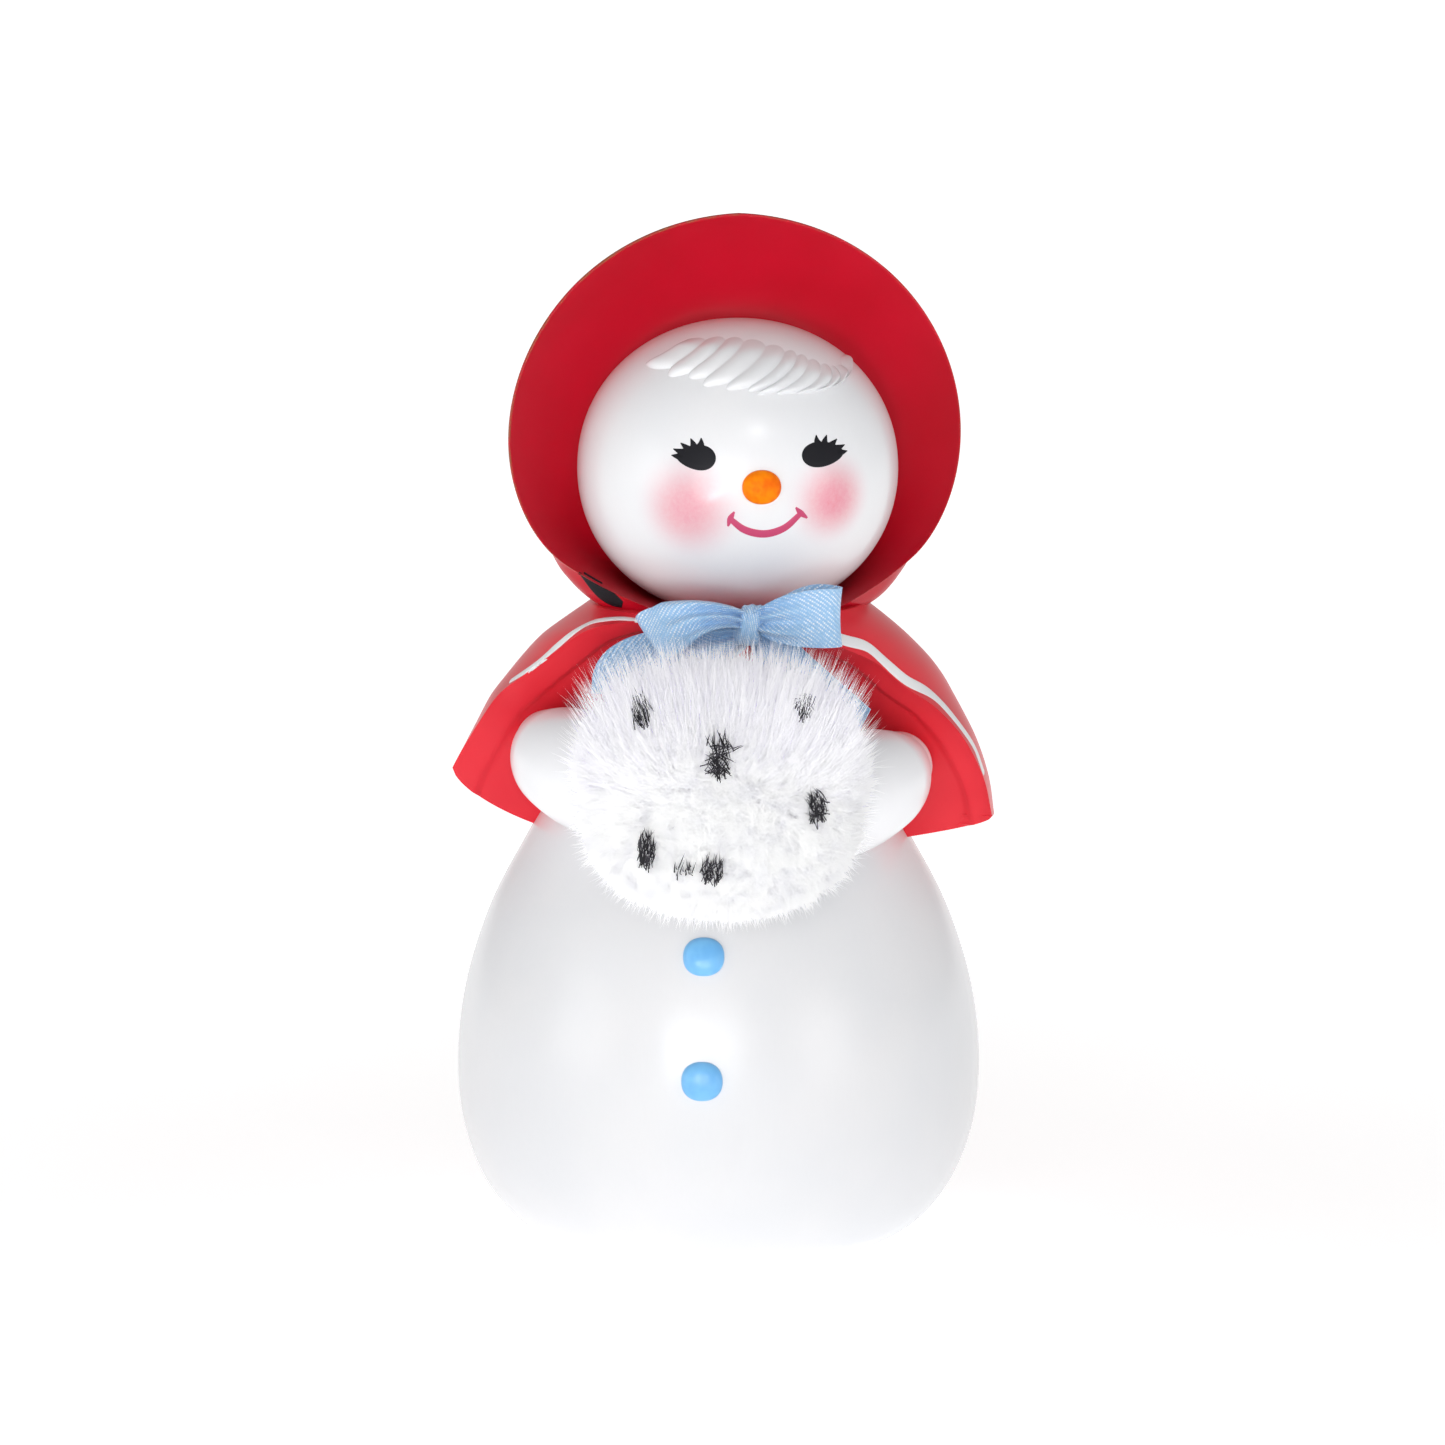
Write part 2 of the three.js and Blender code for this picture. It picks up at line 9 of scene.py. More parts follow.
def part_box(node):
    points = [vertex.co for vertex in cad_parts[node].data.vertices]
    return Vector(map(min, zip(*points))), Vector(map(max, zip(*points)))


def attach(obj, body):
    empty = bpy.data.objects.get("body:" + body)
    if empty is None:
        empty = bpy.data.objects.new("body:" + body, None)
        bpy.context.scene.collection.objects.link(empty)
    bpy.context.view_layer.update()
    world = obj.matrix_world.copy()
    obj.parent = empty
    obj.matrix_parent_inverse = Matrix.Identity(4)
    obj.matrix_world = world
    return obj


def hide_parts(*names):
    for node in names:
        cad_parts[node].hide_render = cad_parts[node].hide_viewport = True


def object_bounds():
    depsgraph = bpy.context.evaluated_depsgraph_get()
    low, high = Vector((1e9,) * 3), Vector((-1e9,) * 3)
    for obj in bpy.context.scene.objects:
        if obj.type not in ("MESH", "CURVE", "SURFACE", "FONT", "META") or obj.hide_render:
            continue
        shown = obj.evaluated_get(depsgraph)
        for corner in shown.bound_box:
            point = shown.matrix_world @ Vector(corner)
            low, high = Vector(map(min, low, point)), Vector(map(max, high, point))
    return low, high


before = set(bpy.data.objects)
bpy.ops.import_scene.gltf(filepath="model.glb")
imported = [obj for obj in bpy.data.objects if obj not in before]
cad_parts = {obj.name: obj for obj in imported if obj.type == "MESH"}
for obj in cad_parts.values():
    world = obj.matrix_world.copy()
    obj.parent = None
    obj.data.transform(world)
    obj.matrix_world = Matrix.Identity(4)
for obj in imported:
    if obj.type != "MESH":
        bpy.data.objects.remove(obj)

cad_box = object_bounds()
MM = 0.001
RNG = np.random.default_rng(20)


def node_box(name):
    """A node's lowest corner, highest corner and middle."""
    low, high = (np.array(corner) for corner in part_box(name))
    return low, high, (low + high) / 2


# ---------- curves and surfaces ----------
def spline(points, samples):
    """Evenly stepped points on a smooth curve through the given ones."""
    p = np.asarray(points, float)
    steps = np.linalg.norm(np.diff(p, axis=0), axis=1) ** 0.5
    knots = np.concatenate([[0], np.cumsum(steps)])
    slopes = np.gradient(p, knots, axis=0)
    u = np.linspace(0, len(p) - 1, samples)
    i = np.minimum(u.astype(int), len(p) - 2)
    w = (u - i)[:, None]
    h = (knots[i + 1] - knots[i])[:, None]
    start = p[i] * (2 * w**3 - 3 * w**2 + 1) + slopes[i] * h * (w**3 - 2 * w**2 + w)
    end = p[i + 1] * (3 * w**2 - 2 * w**3) + slopes[i + 1] * h * (w**3 - w**2)
    return start + end


def eased(values, samples):
    """Evenly stepped values on a smooth curve through the given ones."""
    return spline(np.column_stack([np.arange(len(values)), values]), samples)[:, 1]


def unit(v):
    return v / np.maximum(np.linalg.norm(v, axis=-1, keepdims=True), 1e-12)


def joined(*parts):
    """Coordinates given one by one, as points."""
    return np.stack(parts, axis=-1)


def round_turn(count):
    """Angles evenly stepped once round."""
    return np.linspace(0, 2 * math.pi, count, endpoint=False)


def run_along(path):
    """How far along a path of points each of them lies."""
    return np.concatenate([[0], np.cumsum(np.linalg.norm(np.diff(path, axis=0), axis=1))])


def slope_of(point, half, power):
    """Which way out is from a squarish ball of these half sizes, not yet of unit length."""
    return np.sign(point) * np.abs(point / half) ** (power - 1) / half


def smooth_step(x, low, high):
    t = np.clip((x - low) / (high - low), 0, 1)
    return t * t * (3 - 2 * t)


def mesh_from(name, points, faces):
    """A mesh object from arrays; every face has the same number of corners."""
    mesh = bpy.data.meshes.new(name)
    count, corners = faces.shape
    mesh.vertices.add(len(points))
    mesh.vertices.foreach_set("co", np.ascontiguousarray(points, np.float32).ravel())
    mesh.loops.add(count * corners)
    mesh.loops.foreach_set("vertex_index", faces.astype(np.int32).ravel())
    mesh.polygons.add(count)
    mesh.polygons.foreach_set("loop_start", np.arange(0, count * corners, corners, dtype=np.int32))
    mesh.update(calc_edges=True)
    mesh.shade_smooth()
    piece = bpy.data.objects.new(name, mesh)
    bpy.context.scene.collection.objects.link(piece)
    return piece


def skin(name, grid, sharp=50):
    """A closed body through a stack of closed loops, grid[loop, point], with its ends filled in."""
    rows, cols = grid.shape[:2]
    index = np.arange(rows * cols).reshape(rows, cols)
    right = np.roll(index, -1, axis=1)
    quads = np.stack([index[:-1], right[:-1], right[1:], index[1:]], axis=-1).reshape(-1, 4)
    piece = mesh_from(name, grid.reshape(-1, 3), quads)
    fill_holes(piece)
    piece.data.set_sharp_from_angle(angle=math.radians(sharp))
    return piece


def fill_holes(piece):
    """Closes the open ends with fans and turns all faces outwards."""
    bm = bmesh.new()
    bm.from_mesh(piece.data)
    ends = [edge for edge in bm.edges if edge.is_boundary]
    made = bmesh.ops.holes_fill(bm, edges=ends, sides=0)["faces"]
    bmesh.ops.poke(bm, faces=made)
    bmesh.ops.recalc_face_normals(bm, faces=bm.faces)
    for face in bm.faces:
        face.smooth = True
    bm.to_mesh(piece.data)
    bm.free()


def ball_grid(half, power, rows, cols):
    """Loops over a ball of three half sizes, a little squarer than an ellipsoid when power is over 2."""
    polar = np.linspace(0.004, math.pi - 0.004, rows)[:, None]
    turn = round_turn(cols)[None, :]
    flat = np.sin(polar)
    way = joined(flat * np.cos(turn), flat * np.sin(turn), np.cos(polar) * np.ones_like(turn))
    return way * (np.abs(way / half) ** power).sum(axis=-1, keepdims=True) ** (-1 / power)


def limb_grid(path, radii, cols, up=(0, 0, 1)):
    """Loops of a round limb with rounded ends along a curve of points."""
    tangents = unit(np.gradient(path, axis=0))
    side = unit(np.cross(tangents, np.asarray(up, float)))
    other = np.cross(side, tangents)
    turn = round_turn(cols)

    def ring(i, share, reach):
        middle = path[i] + tangents[i] * reach
        spread = np.cos(turn)[:, None] * side[i] + np.sin(turn)[:, None] * other[i]
        return middle + spread * radii[i] * share

    bend = np.linspace(0.02, math.pi / 2, 12)[:-1]
    loops = [ring(0, math.sin(a), -radii[0] * math.cos(a)) for a in bend]
    loops += [ring(i, 1, 0) for i in range(len(path))]
    loops += [ring(-1, math.sin(a), radii[-1] * math.cos(a)) for a in bend[::-1]]
    return np.array(loops)


# ---------- finishing a piece ----------
def finish_piece(piece, looks, slot, *nodes):
    """Materials, the body it rides on and the nodes it stands for; slot is not used."""
    for look in looks if isinstance(looks, list) else [looks]:
        piece.data.materials.append(look)
    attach(piece, "root")
    if nodes:
        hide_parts(*nodes)
    return piece


# ---------- material nodes ----------
class Look:
    """A material under construction: node() adds a node, and link() joins two sockets."""

    def __init__(self, name, base, roughness, **constant):
        self.material = bpy.data.materials.new(name)
        self.material.use_nodes = True
        self.tree = self.material.node_tree
        self.shader = self.tree.nodes["Principled BSDF"]
        self.set("Base Color", (*base, 1))
        self.set("Roughness", roughness)
        for socket, value in constant.items():
            self.set(socket.replace("_", " "), value)

    def set(self, socket, value):
        self.shader.inputs[socket].default_value = value

    def node(self, kind, inputs=(), **settings):
        made = self.tree.nodes.new(kind)
        for key, value in settings.items():
            setattr(made, key, value)
        for key, value in dict(inputs).items():
            if isinstance(value, bpy.types.NodeSocket):
                self.tree.links.new(value, made.inputs[key])
            else:
                made.inputs[key].default_value = value
        return made

    def to_shader(self, socket, output):
        self.tree.links.new(output, self.shader.inputs[socket])

    def place(self):
        return self.node("ShaderNodeTexCoord").outputs["Object"]

    def stretched(self, scale, turn=(0, 0, 0), vector=None):
        vector = vector or self.place()
        made = self.node("ShaderNodeMapping", {"Vector": vector, "Rotation": turn, "Scale": scale})
        return made.outputs["Vector"]

    def noise(self, vector, scale, detail=3.0, roughness=0.55, distortion=0.0):
        inputs = {"Vector": vector, "Scale": scale, "Detail": detail, "Roughness": roughness}
        made = self.node("ShaderNodeTexNoise", {**inputs, "Distortion": distortion})
        return made.outputs["Fac"]

    def ranged(self, value, low, high, to_low, to_high, kind="LINEAR"):
        inputs = {"Value": value, 1: low, 2: high, 3: to_low, 4: to_high}
        return self.node("ShaderNodeMapRange", inputs, interpolation_type=kind).outputs["Result"]

    def mixed(self, factor, first, second, blend="MIX"):
        inputs = {0: factor, 6: first, 7: second}
        return self.node("ShaderNodeMix", inputs, data_type="RGBA", blend_type=blend).outputs[2]

    def math(self, operation, *values):
        return self.node("ShaderNodeMath", dict(enumerate(values)), operation=operation).outputs[0]

    def bump(self, height, depth, strength=1.0, onto=None):
        inputs = {"Height": height, "Distance": depth, "Strength": strength}
        if onto is not None:
            inputs["Normal"] = onto
        return self.node("ShaderNodeBump", inputs).outputs["Normal"]


def linear(red, green, blue):
    """Screen colour 0-255 as the linear colour that a shader takes."""
    def one(value):
        value = value / 255
        return value / 12.92 if value <= 0.04045 else ((value + 0.055) / 1.055) ** 2.4
    return (one(red), one(green), one(blue))


def brushed_paint(name, colour, deep, roughness=0.3, gloss=0.5, coat=0.2, pool=45):
    """Gloss enamel laid on by hand: fine brush lines, soft pooling and a slightly uneven sheen."""
    look = Look(name, colour, roughness, Specular_IOR_Level=gloss, Coat_Weight=coat, Coat_Roughness=0.14)
    place = look.place()
    pooled = look.noise(place, pool, 2)
    lines = look.noise(look.stretched((2200, 2200, 260), (0.5, 0.2, 0.7), place), 1.0, 2, 0.6, 0.4)
    ripple = look.noise(place, 200, 3)
    tint = look.ranged(pooled, 0.25, 0.75, 0.0, 1.0, "SMOOTHSTEP")
    shade = look.mixed(tint, (*colour, 1), (*deep, 1))
    streak = look.ranged(lines, 0.2, 0.8, 0.99, 1.0)
    streaked = look.node("ShaderNodeCombineColor", {0: streak, 1: streak, 2: streak}).outputs[0]
    look.base_output = look.mixed(1.0, shade, streaked, "MULTIPLY")
    look.to_shader("Base Color", look.base_output)
    look.to_shader("Roughness", look.ranged(ripple, 0.2, 0.8, roughness - 0.004, roughness + 0.004))
    gentle = look.bump(ripple, 0.003 * MM)
    look.to_shader("Normal", look.bump(lines, 0.0003 * MM, 1.0, gentle))
    return look


def worn_red_paint(name, colour, deep):
    """Red enamel whose sharpest edges are rubbed through to the brown ground."""
    look = brushed_paint(name, colour, deep, 0.34, 0.28, 0.08)
    wear = look.node("ShaderNodeAttribute", attribute_name="wear").outputs["Fac"]
    patches = look.noise(look.place(), 260, 4, 0.7)
    rubbed = look.math("MULTIPLY", wear, look.ranged(patches, 0.42, 0.58, 0.0, 1.0))
    ground = (*linear(150, 74, 44), 1)
    look.to_shader("Base Color", look.mixed(rubbed, look.base_output, ground))
    return look.material


def face_paint(name, cheeks):
    """The head's white enamel with two airbrushed cheeks."""
    look = brushed_paint(name, WHITE, SOFT_WHITE, 0.27)
    shade = look.base_output
    blush = (*linear(220, 88, 116), 1)
    grain = look.noise(look.place(), 1400, 3, 0.7)
    for centre, radius, strength in cheeks:
        inputs = {0: look.place(), 1: centre}
        away = look.node("ShaderNodeVectorMath", inputs, operation="DISTANCE").outputs["Value"]
        soft = look.ranged(away, 0.0, radius, 1.0, 0.0, "SMOOTHERSTEP")
        sprayed = look.math("MULTIPLY", soft, look.ranged(grain, 0.2, 0.8, 0.86, 1.1))
        shade = look.mixed(look.math("MULTIPLY", sprayed, strength), shade, blush)
    look.to_shader("Base Color", shade)
    return look.material


def satin(name):
    """Woven satin: slanting ribs over a blue ground and finer cross threads, with a painted highlight of pale
    glints on the rib crests, in patches.

    The attribute cloth holds millimetres along the ribbon and across it."""
    base, glint_white = linear(148, 190, 229), linear(250, 252, 254)
    look = Look(name, base, 0.36, Specular_IOR_Level=0.5, Sheen_Weight=0.15, Sheen_Roughness=0.4)
    cloth = look.node("ShaderNodeAttribute", attribute_name="cloth").outputs["Vector"]

    def ribs(along, across):
        inputs = {0: cloth, 1: (along * 2 * math.pi, across * 2 * math.pi, 0)}
        dot = look.node("ShaderNodeVectorMath", inputs, operation="DOT_PRODUCT").outputs["Value"]
        return look.math("SINE", dot)

    twill = ribs(0.95, 1.3)
    threads = look.math("MULTIPLY", ribs(2.1, -1.5), 0.4)
    weave = look.math("ADD", look.math("MULTIPLY", twill, 0.7), threads)
    patches = look.noise(look.stretched((0.32, 0.24, 1), vector=cloth), 1.0, 2, 0.5)
    flecks = look.noise(look.stretched((2.4, 1.3, 1), vector=cloth), 1.0, 2, 0.7)
    lit = look.ranged(weave, 0.0, 0.9, 0.0, 1.0)
    # Painted highlight: the glints are pale colour and lower roughness where the lit ribs, the patches and
    # the flecks line up.
    bright = look.math("MULTIPLY", lit, look.ranged(patches, 0.38, 0.54, 0.25, 1.0))
    bright = look.math("MULTIPLY", bright, look.ranged(flecks, 0.42, 0.54, 0.12, 1.0))
    look.to_shader("Base Color", look.mixed(bright, (*base, 1), (*glint_white, 1)))
    look.to_shader("Roughness", look.ranged(bright, 0.0, 1.0, 0.42, 0.26))
    look.to_shader("Normal", look.bump(weave, 0.06 * MM, 0.8))
    return look.material


def strand_look(name, colour, roughness=0.55, glow=0.0):
    """Fine fibre; the glow stands in for the light that scatters on through white fibres."""
    look = Look(name, colour, roughness, Emission_Color=(*colour, 1), Emission_Strength=glow)
    uneven = look.noise(look.place(), 900)
    look.to_shader("Roughness", look.ranged(uneven, 0.3, 0.7, roughness - 0.1, roughness + 0.1))
    return look.material


def felted(name, colour, deep):
    """Knitted backing or wadding: matted fibres."""
    look = Look(name, colour, 0.9, Sheen_Weight=0.3)
    fibres = look.noise(look.place(), 900, 5, 0.75, 1.5)
    look.to_shader("Base Color", look.mixed(fibres, (*colour, 1), (*deep, 1)))
    look.to_shader("Normal", look.bump(fibres, 0.2 * MM))
    return look.material


def bare_wood(name):
    """Pale beech dowel: straight grain with small flecks."""
    light, dark = linear(221, 190, 145), linear(176, 138, 92)
    look = Look(name, light, 0.6)
    grain = look.noise(look.stretched((900, 900, 60)), 1.0, 4, 0.6, 0.5)
    look.to_shader("Base Color", look.mixed(look.ranged(grain, 0.35, 0.7, 0, 1), (*light, 1), (*dark, 1)))
    look.to_shader("Normal", look.bump(grain, 0.05 * MM))
    return look.material


WHITE = linear(229, 229, 231)
SOFT_WHITE = linear(225, 226, 229)


# ---------- the turned body ----------
# Radius as a share of the widest, and height as a share of the whole, from the foot to the neck.
BODY_PROFILE = [
    (0.549, 0), (0.673, 0.0117), (0.802, 0.0468), (0.914, 0.1117), (0.982, 0.1946), (1, 0.2883),
    (0.971, 0.3964), (0.877, 0.5225), (0.73, 0.6396), (0.582, 0.7477), (0.444, 0.8559),
    (0.356, 0.9369), (0.33, 1),
]
body_high = node_box("body")[1]
body_line = spline(BODY_PROFILE, 160) * [body_high[0], body_high[2]]


def body_radius(z):
    return np.interp(z, body_line[:, 1], body_line[:, 0])


def make_body(look):
    turn = round_turn(256)
    loops = [joined(r * np.sin(turn), -r * np.cos(turn), z + 0 * turn) for r, z in body_line]
    return finish_piece(skin("painted_body", np.array(loops)), look, "snow_paint", "body")


# ---------- the head and what is painted on it ----------
head_middle = node_box("head")[2]
HEAD_TURN = math.radians(12)
HEAD_HALF = np.array([27.6, 27.0, 25.6]) * MM
HEAD_POWER = 2.06
head_frame = Matrix.Translation(Vector(head_middle)) @ Matrix.Rotation(HEAD_TURN, 4, "Z")
CHEEKS = [((-12.0, -4.0), 11.6, 0.62), ((12.4, -2.9), 10.2, 0.72)]  # across and up, reach, strength
CHEEK_RISE = 0.9 * MM
CHEEK_WIDTH = 4.6 * MM


def cheek_rise(x, z):
    """How far the cheeks stand out of the ball of the head."""
    rise = 0 * x
    for (cx, cz), _, _ in CHEEKS:
        away = (x - cx * MM) ** 2 + (z - cz * MM) ** 2
        rise = rise + CHEEK_RISE * np.exp(-away / (2 * CHEEK_WIDTH**2))
    return rise


def on_head(x, z, lift=0.0):
    """Points on the face at these places across and up, in the head's own frame."""
    left = 1 - np.abs(x / HEAD_HALF[0]) ** HEAD_POWER - np.abs(z / HEAD_HALF[2]) ** HEAD_POWER
    y = -HEAD_HALF[1] * np.maximum(left, 0.002) ** (1 / HEAD_POWER)
    point = joined(x, y, z)
    way = unit(slope_of(point, HEAD_HALF, HEAD_POWER))
    return point + way * (lift + cheek_rise(x, z))[..., None]


def make_head(look):
    grid = ball_grid(HEAD_HALF, HEAD_POWER, 160, 256)
    rise = cheek_rise(grid[..., 0], grid[..., 2]) * (grid[..., 1] < 0)
    piece = skin("painted_head", grid + unit(slope_of(grid, HEAD_HALF, HEAD_POWER)) * rise[..., None])
    piece.matrix_world = head_frame
    return finish_piece(piece, look, "snow_paint", "head")


def brush_stroke(name, surface, path, widths, look, slot, film=0.09 * MM, samples=48):
    """A stroke of thick paint on a surface: surface(a, b, lift) gives points, path is in (a, b)."""
    line = spline(path, samples)
    width = eased(widths, samples)
    along = unit(np.gradient(line, axis=0))
    side = joined(-along[:, 1], along[:, 0])
    across = np.concatenate([np.linspace(-1, 1, 9), np.linspace(1, -1, 9)[1:-1]])
    lift = np.where(np.arange(16) < 9, film * (1 - 0.9 * across**4), -2.5 * film)
    spots = line[:, None] + side[:, None] * (across[None, :, None] * width[:, None, None] / 2)
    grid = surface(spots[..., 0], spots[..., 1], np.broadcast_to(lift, spots.shape[:2]))
    return finish_piece(skin(name, grid, 80), look, slot)


# Each eye: across, up and half its width.
EYES = {"right": (-10.75, 4.1, 3.15), "left": (10.75, 4.3, 3.75)}
EYE_HIGH = 4.15
EYE_TAPER = 0.22  # how much fuller an eye is towards the nose
# Each lash: where it leaves the eye's edge in degrees from the nose side, how far it reaches, its lean.
LASHES = [(76, 1.2, 8), (97, 1.25, 13), (119, 1.2, 20), (143, 1.15, 20), (172, 0.8, 2)]
LASH_WIDTHS = [1.6, 1.0, 0.16]
MOUTH = [(-5.3, -5.7), (-2.7, -7.75), (0.7, -8.55), (4.0, -7.6), (6.8, -5.0)]
MOUTH_WIDTHS = [0.9, 1.25, 1.35, 1.25, 0.9]
MOUTH_END_WIDTHS = [0.3, 1.0, 0.35]
MOUTH_ENDS = [[(-4.55, -4.55), (-5.15, -5.7), (-5.5, -7.05)], [(5.85, -4.0), (6.75, -5.0), (7.85, -5.85)]]


def on_head_mm(x, z, lift):
    return on_head(x * MM, z * MM, lift)


def make_face(black, pink):
    """Eyes with lashes, and a smile with a tick at each end."""
    pieces = []
    for side, (cx, cz, half) in EYES.items():
        out = -1 if side == "right" else 1
        swell = np.linspace(0.03, math.pi - 0.03, 33)
        share = np.cos(swell)
        line = joined(cx - out * half * share, cz + 0.4 - 0.15 * share - 0.1 * share**2)
        high = EYE_HIGH * np.sin(swell) * (1 + EYE_TAPER * share)
        pieces.append(brush_stroke(f"{side}_eye", on_head_mm, line, high, black, "snow_paint", samples=80))
        middle_of_eye = np.array([cx, cz + 0.3])
        for number, (angle, reach, lean) in enumerate(LASHES, 1):
            a, b = math.radians(angle), math.radians(angle + lean)
            way = np.array([-out * math.cos(b), math.sin(b)])
            edge_high = math.sin(a) * (1 + EYE_TAPER * math.cos(a)) * EYE_HIGH / 2
            edge = np.array([-out * math.cos(a) * half, edge_high])
            root = middle_of_eye + edge * 0.72
            tip = middle_of_eye + edge + way * reach
            curl = np.array([out, 0.6]) * 0.12
            lash = [root, (root + tip) / 2 - curl, tip]
            name = f"{side}_lash_{number}"
            pieces.append(brush_stroke(name, on_head_mm, lash, LASH_WIDTHS, black, "snow_paint", samples=16))
    pieces.append(brush_stroke("smile", on_head_mm, MOUTH, MOUTH_WIDTHS, pink, "snow_paint"))
    for name, tick in zip(("smile_right_end", "smile_left_end"), MOUTH_ENDS):
        pieces.append(brush_stroke(name, on_head_mm, tick, MOUTH_END_WIDTHS, pink, "snow_paint", samples=16))
    for piece in pieces:
        piece.matrix_world = head_frame


# ---------- the carved hair, nose and buttons ----------
STRANDS = 12
FRINGE_RISE = 1.0  # how far the strands stand out of the forehead
FRINGE_SUNK = 0.5  # how far their ends go under its surface


def strand_line(t):
    """The route of one carved strand over the forehead, t from the figure's right to its left."""
    tip = np.array([-19.0 + 35.4 * t, 18.7 - 13.3 * t + 10.6 * t * t])
    root_x = 14.8 - 24.9 * (1 - t) ** 2.2
    root = np.array([root_x, 25.3 * math.sqrt(1 - (root_x / 27.6) ** 2) - 1.8 * max(0, root_x / 17) ** 1.5])
    swing = tip - root
    sag = np.array([-swing[1], swing[0]]) / np.linalg.norm(swing) * (0.3 + 3.0 * t)
    return [root, root + swing * 0.35 + sag, root + swing * 0.72 + sag * 0.75, tip]


def make_hair(look):
    """One carved mass of strands side by side, each with a round back and its own pointed end."""
    across = np.linspace(0, 1, 16 * STRANDS + 1)
    along = np.linspace(0, 1, 90)
    swept = np.clip(across + 0.012 * np.sin(across * 19), 0, 1)
    routes = np.stack([spline(strand_line(t), len(along)) for t in swept], axis=1)
    back = np.abs(np.sin(math.pi * STRANDS * across)) ** 0.75
    number = np.minimum((across * STRANDS).astype(int), STRANDS - 1)
    end = 0.8 + (0.15 + 0.05 * np.sin(number * 2.3)) * back
    share = along[:, None] / end[None, :]
    blunt = np.sqrt(np.clip(1 - np.clip((share - 0.72) / 0.28, 0, 1) ** 2.2, 0, 1))
    shape = smooth_step(along, 0.0, 0.4)[:, None] * blunt
    shape = shape * smooth_step(np.minimum(across, 1 - across), 0, 0.03)[None, :]
    lift = shape * (FRINGE_SUNK + FRINGE_RISE * (0.45 + 0.55 * back[None, :])) - FRINGE_SUNK
    top = on_head_mm(routes[..., 0], routes[..., 1], lift * MM)
    under = on_head_mm(routes[..., 0], routes[..., 1], np.full(lift.shape, -2 * FRINGE_SUNK * MM))
    fringe = skin("carved_fringe", np.concatenate([top, under[:, ::-1]], axis=1), 80)
    soften = fringe.modifiers.new("paint_filled", "SMOOTH")
    soften.factor = 0.5
    soften.iterations = 3
    fringe.matrix_world = head_frame
    return finish_piece(fringe, look, "snow_paint", "hair_fringe")


def make_nose(look):
    low, high, middle = node_box("nose")
    half = np.array([high[0] - low[0], 3.6 * MM, high[2] - low[2]]) / 2
    piece = skin("painted_nose", ball_grid(half, 2.1, 60, 96))
    seat = on_head(np.array(0.0), np.array(middle[2] - head_middle[2]), np.array(0.0))
    piece.matrix_world = head_frame @ Matrix.Translation(Vector(seat))
    return finish_piece(piece, look, "orange_paint", "nose")


def make_button(name, look):
    """A low turned dome let into the belly, tilted with the belly's slope."""
    low, high, middle = node_box(name)
    radius = (high[0] - low[0]) / 2
    slope = math.atan2(body_radius(middle[2] + MM) - body_radius(middle[2] - MM), 2 * MM)
    dome = ball_grid(np.array([radius, 1.7 * MM, radius * 0.95]), 2.25, 60, 96)
    piece = skin(f"painted_{name}", dome)
    seat = Vector((middle[0], -body_radius(middle[2]) + 0.1 * MM, middle[2]))
    piece.matrix_world = Matrix.Translation(seat) @ Matrix.Rotation(slope, 4, "X")
    return finish_piece(piece, look, "blue_paint", name)


# ---------- the hood ----------
# The brim's edge, round from the top: degrees, radius and how far back it lies.
BRIM_EDGE = [
    (0, 43.9, -4), (45, 42.3, -3), (90, 38.9, -1), (112, 35.6, -3),
    (124, 32.2, -7), (134, 29.7, -11), (148, 27.1, -16.5), (164, 24.4, -21), (180, 23, -22),
]
BRIM_ROOT = (26.5, 7)  # radius at the head, and how far back
BRIM_SHIFT = -0.4
BRIM_THICK = 1.8
CROWN = (33, 3)  # radius, and how far behind the head's middle
brim_line = spline(BRIM_EDGE, 400)


def brim_edge(degrees):
    return [np.interp(np.abs(degrees), brim_line[:, 0], brim_line[:, k]) for k in (1, 2)]


def dish_point(out, degrees, depth=0.0):
    """A point of the brim: out runs from the head, 0, to the edge, 1."""
    radius, back = brim_edge(degrees)
    reach = BRIM_ROOT[0] + (radius - BRIM_ROOT[0]) * out
    sunk = BRIM_ROOT[1] + (back - BRIM_ROOT[1]) * np.maximum(out, 0) ** 1.7
    turn = np.radians(degrees)
    x = reach * np.sin(turn) + BRIM_SHIFT * np.maximum(out, 0)
    return joined(x, sunk + depth, reach * np.cos(turn))


def crown_point(polar, degrees):
    radius = CROWN[0] * math.sin(math.radians(polar))
    turn = np.radians(degrees)
    back = CROWN[1] + CROWN[0] * math.cos(math.radians(polar))
    return joined(radius * np.sin(turn), back + 0 * turn, radius * np.cos(turn))


def hood_back(degrees, samples=90):
    """The outside of the hood from its lip to the middle of the back; it bulges past the lip low down."""
    side = np.abs(degrees)
    radius, back = brim_edge(degrees)
    turn = np.radians(degrees)
    wide = radius + 3.4 * smooth_step(side, 108, 134)
    bulge = joined(wide * np.sin(turn) + BRIM_SHIFT, back + 7, wide * np.cos(turn))
    low = smooth_step(side, 100, 122)[:, None]
    shoulder = dish_point(0.7, degrees, BRIM_THICK + 1.5) * (1 - low) + bulge * low
    rows = [dish_point(0.985, degrees, BRIM_THICK), shoulder]
    rows += [crown_point(polar, degrees) for polar in (68, 50, 32, 14, 1)]
    rows = np.array(rows)
    return np.stack([spline(rows[:, k], samples) for k in range(rows.shape[1])], axis=1)


def hood_floor():
    """How low the hood may reach, in the head's frame: it stands on the cape."""
    return node_box("hood")[0][2] - 0.7 * MM - head_middle[2]


